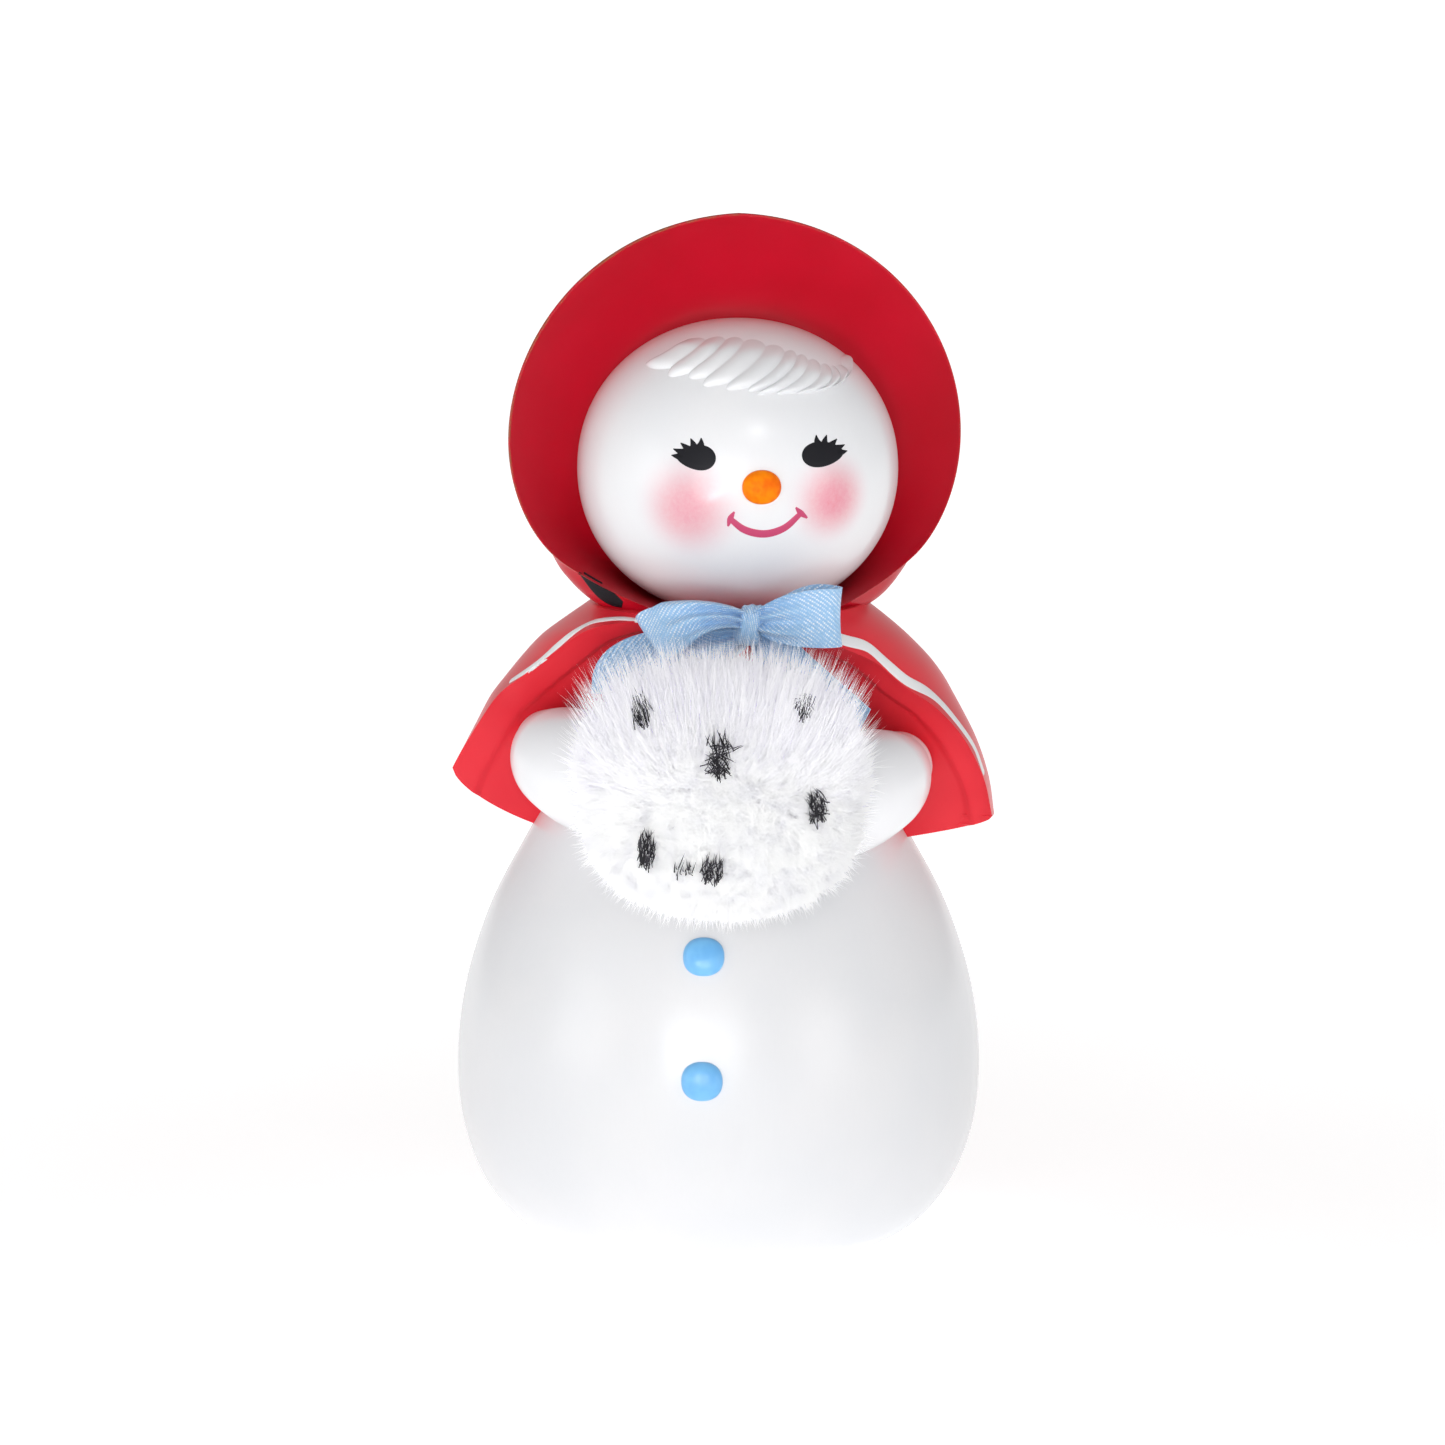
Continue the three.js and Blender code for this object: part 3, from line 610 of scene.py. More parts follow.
def make_hood(look):
    degrees = np.linspace(-180, 180, 320, endpoint=False)
    inside = [dish_point(out, degrees) for out in np.linspace(-0.9, 0.975, 64)]
    bend = np.linspace(0, math.pi, 9)[1:-1]
    lip = [dish_point(0.975 + 0.03 * math.sin(a), degrees, BRIM_THICK * (1 - math.cos(a)) / 2) for a in bend]
    grid = np.concatenate([inside, lip, hood_back(degrees)]) * MM
    grid[..., 2] = np.maximum(grid[..., 2], hood_floor())
    piece = skin("painted_hood", grid)
    rows = np.zeros(grid.shape[:2])
    lip_start, lip_end = len(inside), len(inside) + len(lip)
    rows[lip_start:lip_end] = 1.0
    rows[lip_end:lip_end + 3] = 0.45
    upper_right = smooth_step(-np.cos(np.radians(degrees + 60)), -0.75, -0.2)
    wear = np.zeros(len(piece.data.vertices))
    wear[:rows.size] = (rows * (1 - 0.75 * upper_right)).ravel()
    piece.data.attributes.new("wear", "FLOAT", "POINT").data.foreach_set("value", wear)
    piece.matrix_world = head_frame
    return finish_piece(piece, look, "red_paint", "hood")


# ---------- the cape ----------
CAPE_PROFILE = [
    (23.5, 112), (27.4, 109), (32.2, 105), (36.2, 101), (39.6, 96.5),
    (42, 91), (43.6, 85), (44.4, 78), (44.6, 68),
]
CAPE_LEFT_EDGE = [
    (-5, -24, 112), (-13, -23, 111.2), (-21, -20, 109.2), (-27, -17.5, 105), (-32.6, -15, 100.6),
    (-37, -13, 97), (-40.8, -11.5, 91.6), (-44.2, -9.5, 86), (-45.6, -8, 83.4),
]
CAPE_RIGHT_EDGE = [
    (8, -24, 112), (16, -22.5, 109.4), (22.6, -20, 106.4), (28, -17.5, 103.6), (32.9, -15.5, 99.2),
    (38, -13, 95.4), (42.8, -11, 89.8), (46.3, -9.5, 82.5), (47.7, -8, 75.8),
]
CAPE_SHIFT = 1.7
CAPE_HEM = 72.5
CAPE_ROWS = 120
cape_line = spline(CAPE_PROFILE, 400)[::-1]
left_edge = spline(CAPE_LEFT_EDGE, CAPE_ROWS)
right_edge = spline(CAPE_RIGHT_EDGE, CAPE_ROWS)


def cape_radius(z):
    return np.interp(z, cape_line[:, 1], cape_line[:, 0])


def polar_of(point):
    dx, dy = point[..., 0] - CAPE_SHIFT, point[..., 1]
    return np.arctan2(dx, -dy), np.hypot(dx, dy)


def cape_outside(u):
    """The outer surface, rows from the throat to the hem; u runs 0 to 1 round the back."""
    down = np.linspace(0, 1, CAPE_ROWS)[:, None]
    (la, lr), (ra, rr) = polar_of(left_edge), polar_of(right_edge)
    angle = la[:, None] + (ra - 2 * math.pi - la)[:, None] * u
    near = np.maximum(0, 1 - np.minimum(u, 1 - u) / 0.45) ** 1.3
    edge_z = np.where(u < 0.5, left_edge[:, 2:], right_edge[:, 2:])
    edge_r = np.where(u < 0.5, lr[:, None], rr[:, None])
    back_z = CAPE_PROFILE[0][1] + (CAPE_HEM - CAPE_PROFILE[0][1]) * down
    z = back_z + (edge_z - back_z) * near
    radius = cape_radius(z) + (edge_r - cape_radius(edge_z)) * near**2
    return joined(CAPE_SHIFT + radius * np.sin(angle), -radius * np.cos(angle), z)


def cape_inside(s):
    """The front face between the two edges, behind the arms; s runs 0 to 1 from right to left."""
    down = np.linspace(0, 1, CAPE_ROWS)[:, None]
    grid = right_edge[:, None] + (left_edge - right_edge)[:, None] * s[None, :, None]
    dip = np.sin(math.pi * s) ** 0.6
    grid[..., 1] += dip * (0.4 + 6.6 * np.minimum(1, down * 1.6))
    grid[..., 2] -= dip * (7.7 + 8.8 * s) * down
    span = np.linalg.norm(left_edge - right_edge, axis=1)[:, None]
    rim = np.minimum(s, 1 - s) * span
    grid[..., 1] += 0.7 * smooth_step(rim, 3.4, 4.2)
    return grid


def make_cape(look):
    u = np.linspace(0, 1, 240)
    s = np.linspace(0, 1, 200)[1:-1]
    grid = np.concatenate([cape_outside(u), cape_inside(s)], axis=1) * MM
    piece = skin("painted_cape", grid, 40)
    return finish_piece(piece, look, "red_paint", "cape")


def surface_tree(piece):
    corners = [piece.matrix_world @ v.co for v in piece.data.vertices]
    return bvhtree.BVHTree.FromPolygons(corners, [tuple(f.vertices) for f in piece.data.polygons])


def from_the_front(tree, across, up):
    """Where a level line from the front, this far across and up in millimetres, meets the surface."""
    start = Vector((across, -200, up)) * MM
    hit = tree.ray_cast(start, Vector((0, 1, 0)))
    if not hit[0]:
        hit = tree.find_nearest(start * Vector((1, 0.05, 1)))
    return hit[0], hit[1]


def beside_line(tree, line, samples=160):
    """A surface for a brush stroke: millimetres along a line seen from the front, and across it."""
    hits = [from_the_front(tree, across, up) for across, up in spline(line, samples)]
    centre = np.array([hit[0] for hit in hits])
    normal = np.array([hit[1] for hit in hits])
    window = np.ones(9) / 9
    for k in range(3):
        centre[4:-4, k] = np.convolve(centre[:, k], window, "valid")
        normal[4:-4, k] = np.convolve(normal[:, k], window, "valid")
    side = unit(np.cross(unit(normal), unit(np.gradient(centre, axis=0))))
    far = run_along(centre) / MM

    def surface(along, offset, lift):
        points = np.zeros(along.shape + (3,))
        for spot in np.ndindex(along.shape):
            middle, way, out = (Vector([np.interp(along[spot], far, part[:, k]) for k in range(3)])
                                for part in (centre, side, normal))
            place, facing = tree.find_nearest(middle + way * offset[spot] * MM)[:2]
            points[spot] = place + facing * lift[spot] * (1 if facing.dot(out) > 0 else -1)
        return points

    return surface, far[-1]


# Where the painted line runs, across and up, from the throat to the corner on each side.
CAPE_LINES = {
    "right": [
        (-12, 111.4), (-16.4, 111.1), (-20.4, 110.2), (-23.5, 108.6), (-26.8, 105.8),
        (-30, 102.9), (-35, 99.2),
    ],
    "left": [
        (13, 110.6), (18.4, 109.4), (22.9, 107.6), (26.3, 106.3), (29.2, 103.8), (33, 100.2), (36.8, 97.6),
        (39.8, 94.6), (44.3, 88.2), (46.2, 83.4),
    ],
}
LINE_WIDTHS = {"right": [1.4, 1.7, 1.9, 1.9, 1.5], "left": [2.0, 2.3, 2.4, 2.5, 2.1]}
NECK_MARK = [(-23.2, 118.0), (-20.5, 115.9), (-18.2, 114.1), (-15.6, 112.8)]
MARK_WIDTHS = [0.3, 1.8, 2.9, 3.3, 3.0, 1.4]


def painted_line(name, tree, line, widths, look, film, samples):
    """A brush stroke of these widths along a line seen from the front."""
    surface, length = beside_line(tree, line)
    route = [(0, 0), (length / 2, 0), (length, 0)]
    brush_stroke(name, surface, route, widths, look, "red_paint", film * MM, samples)


def make_cape_lines(cape, hood, white, black):
    """The white line along the front edges of the cape, and the black brush mark beside the throat."""
    tree = surface_tree(cape)
    for side, line in CAPE_LINES.items():
        painted_line(f"cape_line_{side}", tree, line, LINE_WIDTHS[side], white, 0.14, 160)
    painted_line("neck_mark", surface_tree(hood), NECK_MARK, MARK_WIDTHS, black, 0.12, 60)


# ---------- arms ----------
# From the shoulder to the hand: a point on the arm's middle line, and the radius there.
ARMS = {
    "left_arm": [
        ((31.5, -12, 85), 6), ((28.5, -22, 84), 9), ((21, -34, 83), 10.5), ((12.6, -41.5, 83.5), 6.4),
    ],
    "right_arm": [
        ((-28.5, -10, 88), 6), ((-25.5, -20, 87), 9), ((-17, -33, 86), 10.5), ((-8, -41.5, 85.5), 6.4),
    ],
}


def make_arm(name, look):
    points, radii = zip(*ARMS[name])
    path = spline(points, 70)
    radius = eased(radii, 70)
    piece = skin(f"painted_{name}", limb_grid(path * MM, radius * MM, 96))
    return finish_piece(piece, look, "snow_paint", name)


# ---------- the satin bow ----------
RIBBON_WIDTH = 10
RIBBON_THICK = 0.32
KNOT_RADIUS = 3.2
BOW_SHIFT = np.array([-0.3, 0, 1.0]) * MM
knot_middle = node_box("bow_knot")[2] + BOW_SHIFT
# Stations: offset from the knot's middle, lean and pitch of the ribbon's width, and its gathered width.
BOW = {
    "bow_right_loop": [
        (-1.2, -1.6, 1.2, -5, 0, 3.2), (-3.2, -2.8, 1.8, -8, -5, 3.8), (-6.2, -4.0, 2.1, -12, -12, 5.0),
        (-9.6, -4.8, 1.6, -22, -22, 7.2), (-13.0, -4.8, 0.2, -32, -30, 9.8),
        (-15.2, -4.0, -1.2, -38, -34, 10),
        (-16.5, -2.2, -2.3, -41, -34, 10), (-15.9, -0.2, -3.1, -41, -34, 10),
        (-12.9, 1.2, -3.2, -36, -30, 9.6), (-8.6, 1.2, -2.8, -24, -20, 8),
        (-4.6, 0.4, -2.0, -10, -8, 5.6), (-1.4, -0.4, -1.2, 0, 0, 3.6),
    ],
    "bow_left_loop": [
        (1.4, -1.6, 0.6, 0, 0, 4.0), (4.2, -2.9, 1.0, 0, 0, 7.0), (8.0, -3.7, 1.5, 2, 0, 9.2),
        (11.8, -3.3, 1.7, 2, 0, 10), (14.4, -2.0, 1.6, 1, 0, 10), (15.3, -0.4, 1.6, 0, 0, 10),
        (14.3, 1.0, 1.7, 0, 0, 10), (11.0, 1.6, 1.8, 0, 0, 10), (6.8, 1.2, 1.2, 0, 0, 8),
        (3.6, 0.4, 0.8, 0, 0, 5.6), (1.4, -0.2, 0.2, 0, 0, 3.6),
    ],
    "bow_right_tail": [
        (-1.4, 2.0, -2.0, -19, 0, 4.4), (-4.6, 3.2, -3.2, -19, 0, 7), (-10, 4.4, -4.8, -19, 0, 9.6),
        (-15.9, 4.8, -6.6, -18, 0, 10), (-20.2, 4.6, -8.0, -26, 10, 10), (-22.0, 4.4, -9.4, -56, 20, 10),
        (-22.5, 4.4, -12.8, -80, 24, 10),
    ],
    "bow_left_tail": [
        (1.4, 2.2, -1.8, 30, 0, 4.4), (3.8, 2.8, -4.6, 36, 0, 7.4), (7.4, 2.8, -9.4, 38, 4, 9.6),
        (12.9, 1.4, -14.0, 38, 14, 10), (18.4, -0.9, -17.9, 38, 24, 10),
    ],
}


def ribbon_grid(stations, steps=150, across=28):
    """Cross-sections of a ribbon, pleated where it is gathered, and millimetres along and across."""
    rows = []
    for x, y, z, lean, pitch, width in stations:
        lean, pitch = math.radians(lean), math.radians(pitch)
        rows.append((x, y, z, width, math.sin(lean), math.cos(lean), math.tan(pitch)))
    table = spline(rows, steps)
    path = table[:, :3]
    width, sin_lean, cos_lean, pitch = table[:, 3:].T
    tangent = unit(np.gradient(path, axis=0))
    up = unit(joined(sin_lean, -pitch, cos_lean))
    side = unit(up - tangent * (up * tangent).sum(axis=-1, keepdims=True))
    normal = np.cross(side, tangent)
    along = run_along(path)
    v = np.linspace(-1, 1, across)
    gathered = np.maximum(RIBBON_WIDTH - width, 0)
    depth = 0.42 * np.sqrt(gathered * np.maximum(width, 0.1)) / 2.4
    pleats = np.cos(v * math.pi * 2.5 + 0.6)
    cup = 0.35 * (1 - v**2)
    rise = depth[:, None] * pleats[None, :] + cup[None, :]
    spread = side[:, None] * (v[None, :, None] * width[:, None, None] / 2)
    top = path[:, None] + spread + normal[:, None] * rise[..., None]
    bottom = (top - normal[:, None] * RIBBON_THICK)[:, ::-1]
    cloth_top = joined(*np.broadcast_arrays(along[:, None], v[None, :] * RIBBON_WIDTH / 2, 0.0))
    cloth = np.concatenate([cloth_top, cloth_top[:, ::-1]], axis=1)
    return np.concatenate([top, bottom], axis=1), cloth, along[-1]


def add_cloth(piece, cloth):
    """Stores millimetres along and across the ribbon for the weave."""
    values = np.zeros((len(piece.data.vertices), 3))
    flat = cloth.reshape(-1, 3)
    values[:len(flat)] = flat
    values[len(flat):] = flat[-1]
    piece.data.attributes.new("cloth", "FLOAT_VECTOR", "POINT").data.foreach_set("vector", values.ravel())


def make_ribbon(name, look):
    grid, cloth, length = ribbon_grid(BOW[name])
    piece = skin(f"satin_{name}", grid * MM + knot_middle, 60)
    add_cloth(piece, cloth)
    finish_piece(piece, look, "satin_ribbon", name)
    return piece


def make_knot(look):
    """The ribbon's turn round the middle of the bow, creased along its length."""
    turn = round_turn(120)
    v = np.linspace(-1, 1, 40)
    half = 2.2 + 0.25 * np.cos(turn * 2)
    pinch = (1 - 0.62 * np.abs(v) ** 5)[:, None]
    crease = 0.16 * np.cos(v * math.pi * 3.2 + 0.5)[:, None] * (0.7 + 0.3 * np.cos(turn * 3 + 1))[None, :]
    high = (3.5 * pinch + crease) * np.cos(turn)[None, :]
    deep = (2.9 * pinch + crease) * np.sin(turn)[None, :]
    wide = v[:, None] * half[None, :] + 0.5 * np.cos(turn)[None, :]
    cloth = joined(*np.broadcast_arrays(turn[None, :] * KNOT_RADIUS, v[:, None] * 4, 0.0))
    piece = skin("satin_bow_knot", joined(wide, deep, high) * MM + knot_middle, 70)
    add_cloth(piece, cloth)
    finish_piece(piece, look, "satin_ribbon", "bow_knot")
    return piece


# ---------- the fur muff ----------
MUFF_MIDDLE = np.array([3.3, -44.5, 83.6]) * MM
MUFF_CORE = np.array([20.7, 14.4, 16.0]) * MM
MUFF_POWER = 2.35
FUR_PIECES = 9
HAIRS_PER_PIECE = 19000
TUFTS = 2400
SHORT_PILE = 3.8 * MM
LONG_PILE = 6.8 * MM
GUARD_HAIRS = 9500
GUARD_LENGTH = 11.5 * MM
GUARD_RADIUS = 0.075 * MM
FUR_GLOW = 0.21
HAIR_RADIUS = 0.08 * MM


def scattered(count):
    """Ways out from the middle of a ball, evenly scattered."""
    i = np.arange(count) + 0.5
    z = 1 - 2 * i / count
    turn = math.pi * (1 + 5**0.5) * i
    flat = np.sqrt(1 - z * z)
    way = joined(flat * np.cos(turn), flat * np.sin(turn), z)
    return unit(way + RNG.normal(0, 0.6 / math.sqrt(count), way.shape))


def on_core(way):
    """The point of the muff's backing that lies this way, and the way out of the backing there."""
    share = (np.abs(way / MUFF_CORE) ** MUFF_POWER).sum(axis=-1, keepdims=True) ** (-1 / MUFF_POWER)
    point = way * share
    return point, unit(slope_of(point, MUFF_CORE, MUFF_POWER))


def topness(point):
    """0 over the front and the bottom of the muff, 1 along its top, where the pile is longest."""
    share = point / MUFF_CORE
    corner = 0.35 * np.abs(share[:, 0])
    return smooth_step(share[:, 2] + corner * (share[:, 2] > 0), 0.1, 1.0)


def hair_lean(normal, point):
    """Which way the pile leans: every way over the front, outwards at the sides, upright at the top."""
    share = point / MUFF_CORE
    top = topness(point)[:, None]
    fan = joined(share[:, 0], 0 * share[:, 0], share[:, 2] - 0.25)
    tousled = RNG.normal(0, 1, point.shape)
    tousled = 0.75 * unit(tousled - normal * (tousled * normal).sum(axis=-1, keepdims=True))
    upright = joined(0.5 * share[:, 0], -0.25 + 0 * share[:, 0], 1.0 + 0 * share[:, 0])
    return unit(normal * (0.8 - 0.3 * top) + 0.35 * fan + tousled * (1 - 0.85 * top) + 1.5 * top * upright)


def hair_length(point):
    corner = 1 + 0.15 * np.abs(point[:, 0] / MUFF_CORE[0])
    return SHORT_PILE + (LONG_PILE * corner - SHORT_PILE) * topness(point)


def strands(roots, bends, tips, radius):
    """Closed three-sided hairs that taper from the root past the bend to the tip."""
    count = len(roots)
    line = np.stack([roots, bends], axis=1)
    along = unit(tips - roots)
    side = unit(np.cross(along, [0.3, 0.2, 1.0]))
    other = np.cross(along, side)
    turn = np.arange(3) * 2 * math.pi / 3
    spread = np.cos(turn)[None, :, None] * side[:, None] + np.sin(turn)[None, :, None] * other[:, None]
    thick = radius[:, None] * np.array([1.0, 0.8])[None, :]
    rings = line[:, :, None] + spread[:, None] * thick[:, :, None, None]
    points = np.concatenate([rings.reshape(count, 6, 3), tips[:, None]], axis=1)
    faces = [(0, 2, 1)]
    for k in range(3):
        a, b = k, (k + 1) % 3
        faces += [(a, b, a + 3), (b, b + 3, a + 3), (a + 3, b + 3, 6)]
    base = np.arange(count)[:, None, None] * 7
    return points.reshape(-1, 3), (base + np.array(faces)[None]).reshape(-1, 3)


def strand_piece(name, hairs, facing, shade, looks):
    """A piece of many hairs, shaded as the pile they stand in faces; shade picks a look for each."""
    points, faces = strands(*hairs)
    piece = mesh_from(name, points + MUFF_MIDDLE, faces)
    piece.data.normals_split_custom_set_from_vertices(np.repeat(facing, 7, axis=0).tolist())
    per_hair = len(faces) // len(shade)
    piece.data.polygons.foreach_set("material_index", np.repeat(shade, per_hair).astype(np.int32))
    return finish_piece(piece, looks, "white_fur")


def faced(normal):
    """The way the pile faces as a whole."""
    return unit(0.5 * normal + [0, -0.8, 0.2])


def clear_of_others(points):
    """Which of these points, in the muff's frame, lie outside the belly and the arms."""
    world = points + MUFF_MIDDLE
    clear = np.hypot(world[:, 0], world[:, 1]) > body_radius(world[:, 2]) + 0.2 * MM
    for stations in ARMS.values():
        path, radii = (np.array(part, float) * MM for part in zip(*stations))
        for a, b, ra, rb in zip(path[:-1], path[1:], radii[:-1], radii[1:]):
            t = np.clip((world - a) @ (b - a) / ((b - a) @ (b - a)), 0, 1)
            away = np.linalg.norm(world - a - t[:, None] * (b - a), axis=-1)
            clear &= away > ra + (rb - ra) * t - 0.1 * MM
    return clear


def make_fur(whites):
    """The pile: fine hairs that gather a little into tufts."""
    tuft_root, tuft_normal = on_core(scattered(TUFTS))
    tuft_lean = unit(hair_lean(tuft_normal, tuft_root) + RNG.normal(0, 0.2, tuft_root.shape))
    tuft_length = hair_length(tuft_root) * (1.05 + RNG.normal(0, 0.17, TUFTS))
    tuft_shade = RNG.choice(3, TUFTS, p=[0.45, 0.35, 0.2])
    tuft_tip = tuft_root + tuft_lean * tuft_length[:, None]
    tree = kdtree.KDTree(TUFTS)
    for i, point in enumerate(tuft_root):
        tree.insert(point, i)
    tree.balance()

    root, normal = on_core(scattered(HAIRS_PER_PIECE * FUR_PIECES))
    thinned = RNG.random(len(root)) < 1 - 0.76 * topness(root)
    front = (normal[:, 1] < 0.45) & thinned
    root, normal = root[front], normal[front]
    nearest = np.array([tree.find(point)[1] for point in root])
    spread = 0.16 + 0.1 * topness(root)[:, None]
    lean = unit(hair_lean(normal, root) + RNG.normal(0, 1, root.shape) * spread)
    length = hair_length(root) * RNG.uniform(0.55, 1.2, len(root))
    gather = RNG.uniform(0.2, 0.75, len(root))[:, None]
    tip = (root + lean * length[:, None]) * (1 - gather) + tuft_tip[nearest] * gather
    bend = (root + tip) / 2 + normal * length[:, None] * 0.08 + RNG.normal(0, 0.12 * MM, root.shape)
    root = root - normal * 0.4 * MM
    radius = HAIR_RADIUS * RNG.uniform(0.7, 1.2, len(root)) * (1 - 0.35 * topness(root))
    keep = RNG.permutation(np.flatnonzero(clear_of_others(tip) & clear_of_others(bend)))
    high = topness(root)
    # Hairs near the top take the look with the stronger glow, painted light that brightens the top of the
    # pile, and some take the grey-lilac look, painted shade.
    shade = np.where(RNG.random(len(root)) < high, 4, tuft_shade[nearest])
    shade = np.where(RNG.random(len(root)) < 0.2 * high, 3, shade)
    facing = faced(normal)
    for part in range(FUR_PIECES):
        some = keep[part::FUR_PIECES]
        hairs = (root[some], bend[some], tip[some], radius[some])
        strand_piece(f"muff_pile_{part + 1}", hairs, facing[some], shade[some], whites)


def make_guard_hairs(whites):
    """Long loose hairs: a tall fan along the top, longest at its two ends, and a short fuzz all round."""
    root, normal = on_core(scattered(GUARD_HAIRS * 3))
    share = root / MUFF_CORE
    high = smooth_step(share[:, 2] + 0.2 * np.abs(share[:, 0]), 0.25, 0.95)
    rim = smooth_step(normal[:, 1], -0.75, -0.2)
    some = (RNG.random(len(root)) < 0.1 + 0.4 * rim + 0.7 * high) & (normal[:, 1] < 0.5)
    root, normal, share, high = root[some], normal[some], share[some], high[some]
    lock = RNG.normal(0, 0.12, (400, 3))[(np.abs(share @ [31.7, 17.3, 23.9]) * 9).astype(int) % 400]
    fan = joined(0.55 * share[:, 0], -0.25 + 0 * share[:, 0], 1.0 + 0 * share[:, 0])
    fuzz = normal * [1, 0.4, 1] + RNG.normal(0, 0.35, root.shape)
    mix = smooth_step(high, 0.1, 0.6)[:, None]
    lean = unit(fan * mix + fuzz * (1 - mix) + 0.2 * normal + lock + RNG.normal(0, 0.09, root.shape))
    short = 1.55 * SHORT_PILE
    length = short + (GUARD_LENGTH * (1 + 0.3 * np.abs(share[:, 0])) - short) * high
    length = length * RNG.uniform(0.5, 1.1, len(root))
    tip = root + lean * length[:, None]
    bend = root + unit(lean + 0.2 * normal) * length[:, None] * 0.5
    radius = GUARD_RADIUS * RNG.uniform(0.7, 1.15, len(root))
    keep = clear_of_others(tip) & clear_of_others(bend)
    hairs = [part[keep] for part in (root, bend, tip, radius)]
    # Hairs near the top take the look with the stronger glow, painted light that brightens the top of the
    # pile, and some take the grey-lilac look, painted shade.
    shade = np.where(RNG.random(len(root)) < high, 4, RNG.integers(0, 3, len(root)))
    shade = np.where(RNG.random(len(root)) < 0.25 * high, 3, shade)
    strand_piece("muff_guard_hairs", hairs, faced(normal[keep]), shade[keep], whites)


# Each spot: across and up from the muff's middle, half sizes, lie in degrees, its spread, and hairs.
SPOTS = [
    ((-12.8, 17.3), (1.3, 1.9), 112, 16, 84), ((14.2, 18.0), (1.3, 1.0), 150, 60, 50),
    ((0.7, 9.4), (1.8, 1.9), 66, 60, 84), ((1.6, 12.0), (2.6, 0.3), 4, 8, 10),
    ((0.6, 12.6), (2.0, 1.4), 95, 24, 24),
    ((16.4, 2.0), (1.3, 2.7), 116, 20, 112), ((-11.4, -5.3), (1.4, 3.0), 78, 10, 120),
    ((-0.5, -8.4), (1.8, 2.3), 76, 14, 96), ((-5.1, -8.2), (1.8, 1.7), 82, 14, 20),
]


def on_fur(across, up):
    """A point on the outside of the pile, and the way out there."""
    rise = SHORT_PILE + 0.75 * (LONG_PILE - SHORT_PILE) * smooth_step(up / MUFF_CORE[2], 0.3, 1.0)
    outer = MUFF_CORE + rise[..., None]
    left = 1 - (np.abs(across) / outer[:, 0]) ** MUFF_POWER - (np.abs(up) / outer[:, 2]) ** MUFF_POWER
    deep = outer[:, 1] * np.maximum(left, 0.02) ** (1 / MUFF_POWER)
    point = joined(across, -deep, up)
    return point, unit(slope_of(point, outer, MUFF_POWER))


def make_spots(dark):
    """Black hairs that lie over the pile in small ragged spots."""
    made = []
    for (cx, cz), (half_x, half_z), lie, spread, count in SPOTS:
        share = np.sqrt(RNG.random(count))
        turn = RNG.uniform(0, 2 * math.pi, count)
        x = (cx + half_x * share * np.cos(turn)) * MM
        z = (cz + half_z * share * np.sin(turn)) * MM
        way = np.radians(lie + RNG.normal(0, spread, count))
        half = RNG.uniform(0.5, 1.8, count) * MM
        start, out = on_fur(x - np.cos(way) * half, z - np.sin(way) * half)
        end, far = on_fur(x + np.cos(way) * half, z + np.sin(way) * half)
        high = RNG.uniform(0.1, 0.7, count)[:, None] * MM
        bend = (start + end) / 2 + out * high
        radius = RNG.uniform(0.07, 0.15, count) * MM
        made.append((start - out * 0.3 * MM, bend, end + far * high * 0.6, radius))
    hairs = [np.concatenate(part) for part in zip(*made)]
    shade = RNG.choice(len(dark), len(hairs[0]), p=[0.75, 0.25])
    strand_piece("muff_spots", hairs, unit(hairs[1]), shade, dark)


def make_muff_backing(look):
    """The knitted backing that the pile grows from, stuffed and held in by the hands."""
    grid = ball_grid(MUFF_CORE, MUFF_POWER, 90, 120)
    piece = skin("muff_backing", grid + MUFF_MIDDLE)
    finish_piece(piece, look, "white_fur", "muff_fur")


# ---------- floor, light and camera ----------
TABLE_GLOW = (0.52, 0.7)  # close to the figure and far off


def make_stage():
    floor = bpy.data.objects.new("floor", bpy.data.meshes.new("floor"))
    reach = 30
    corners = [(-reach, -reach, 0), (reach, -reach, 0), (reach, reach, 0), (-reach, reach, 0)]
    floor.data.from_pydata(corners, [], [(0, 1, 2, 3)])
    bpy.context.scene.collection.objects.link(floor)
    look = Look("lit_table", (0.9, 0.9, 0.9), 0.9, Emission_Color=(1, 1, 1, 1))
    away = look.node("ShaderNodeVectorMath", {0: look.place()}, operation="LENGTH").outputs["Value"]
    look.to_shader("Emission Strength", look.ranged(away, 0.12, 0.6, *TABLE_GLOW))
    tone = look.ranged(look.noise(look.place(), 3, 2), 0.3, 0.7, 0.895, 0.905)
    look.to_shader("Base Color", look.node("ShaderNodeCombineColor", {0: tone, 1: tone, 2: tone}).outputs[0])
    floor.data.materials.append(look.material)


def softbox(name, azimuth, elevation, distance, size, power, target, spread=180):
    """A square soft light that looks at the target; spread narrows its beam."""
    lamp = bpy.data.lights.new(name, "AREA")
    lamp.size = size
    lamp.energy = power
    lamp.spread = math.radians(spread)
    light = bpy.data.objects.new(name, lamp)
    aim(light, azimuth, elevation, distance, target)
    bpy.context.scene.collection.objects.link(light)


def aim(thing, azimuth, elevation, distance, target):
    """Puts a camera or light this far from the target, and turns it to look there."""
    az, el = math.radians(azimuth), math.radians(elevation)
    way = Vector((math.sin(az) * math.cos(el), -math.cos(az) * math.cos(el), math.sin(el)))
    thing.location = Vector(target) + way * distance
    thing.rotation_euler = (-way).to_track_quat("-Z", "Y").to_euler()


middle = Vector((0, 0, (cad_box[0][2] + cad_box[1][2]) / 2))
HORIZON, SKY = 0.66, 0.42  # brightness of the studio low down and overhead
HORIZON_END, SKY_START = 0.05, 0.65  # how high they reach
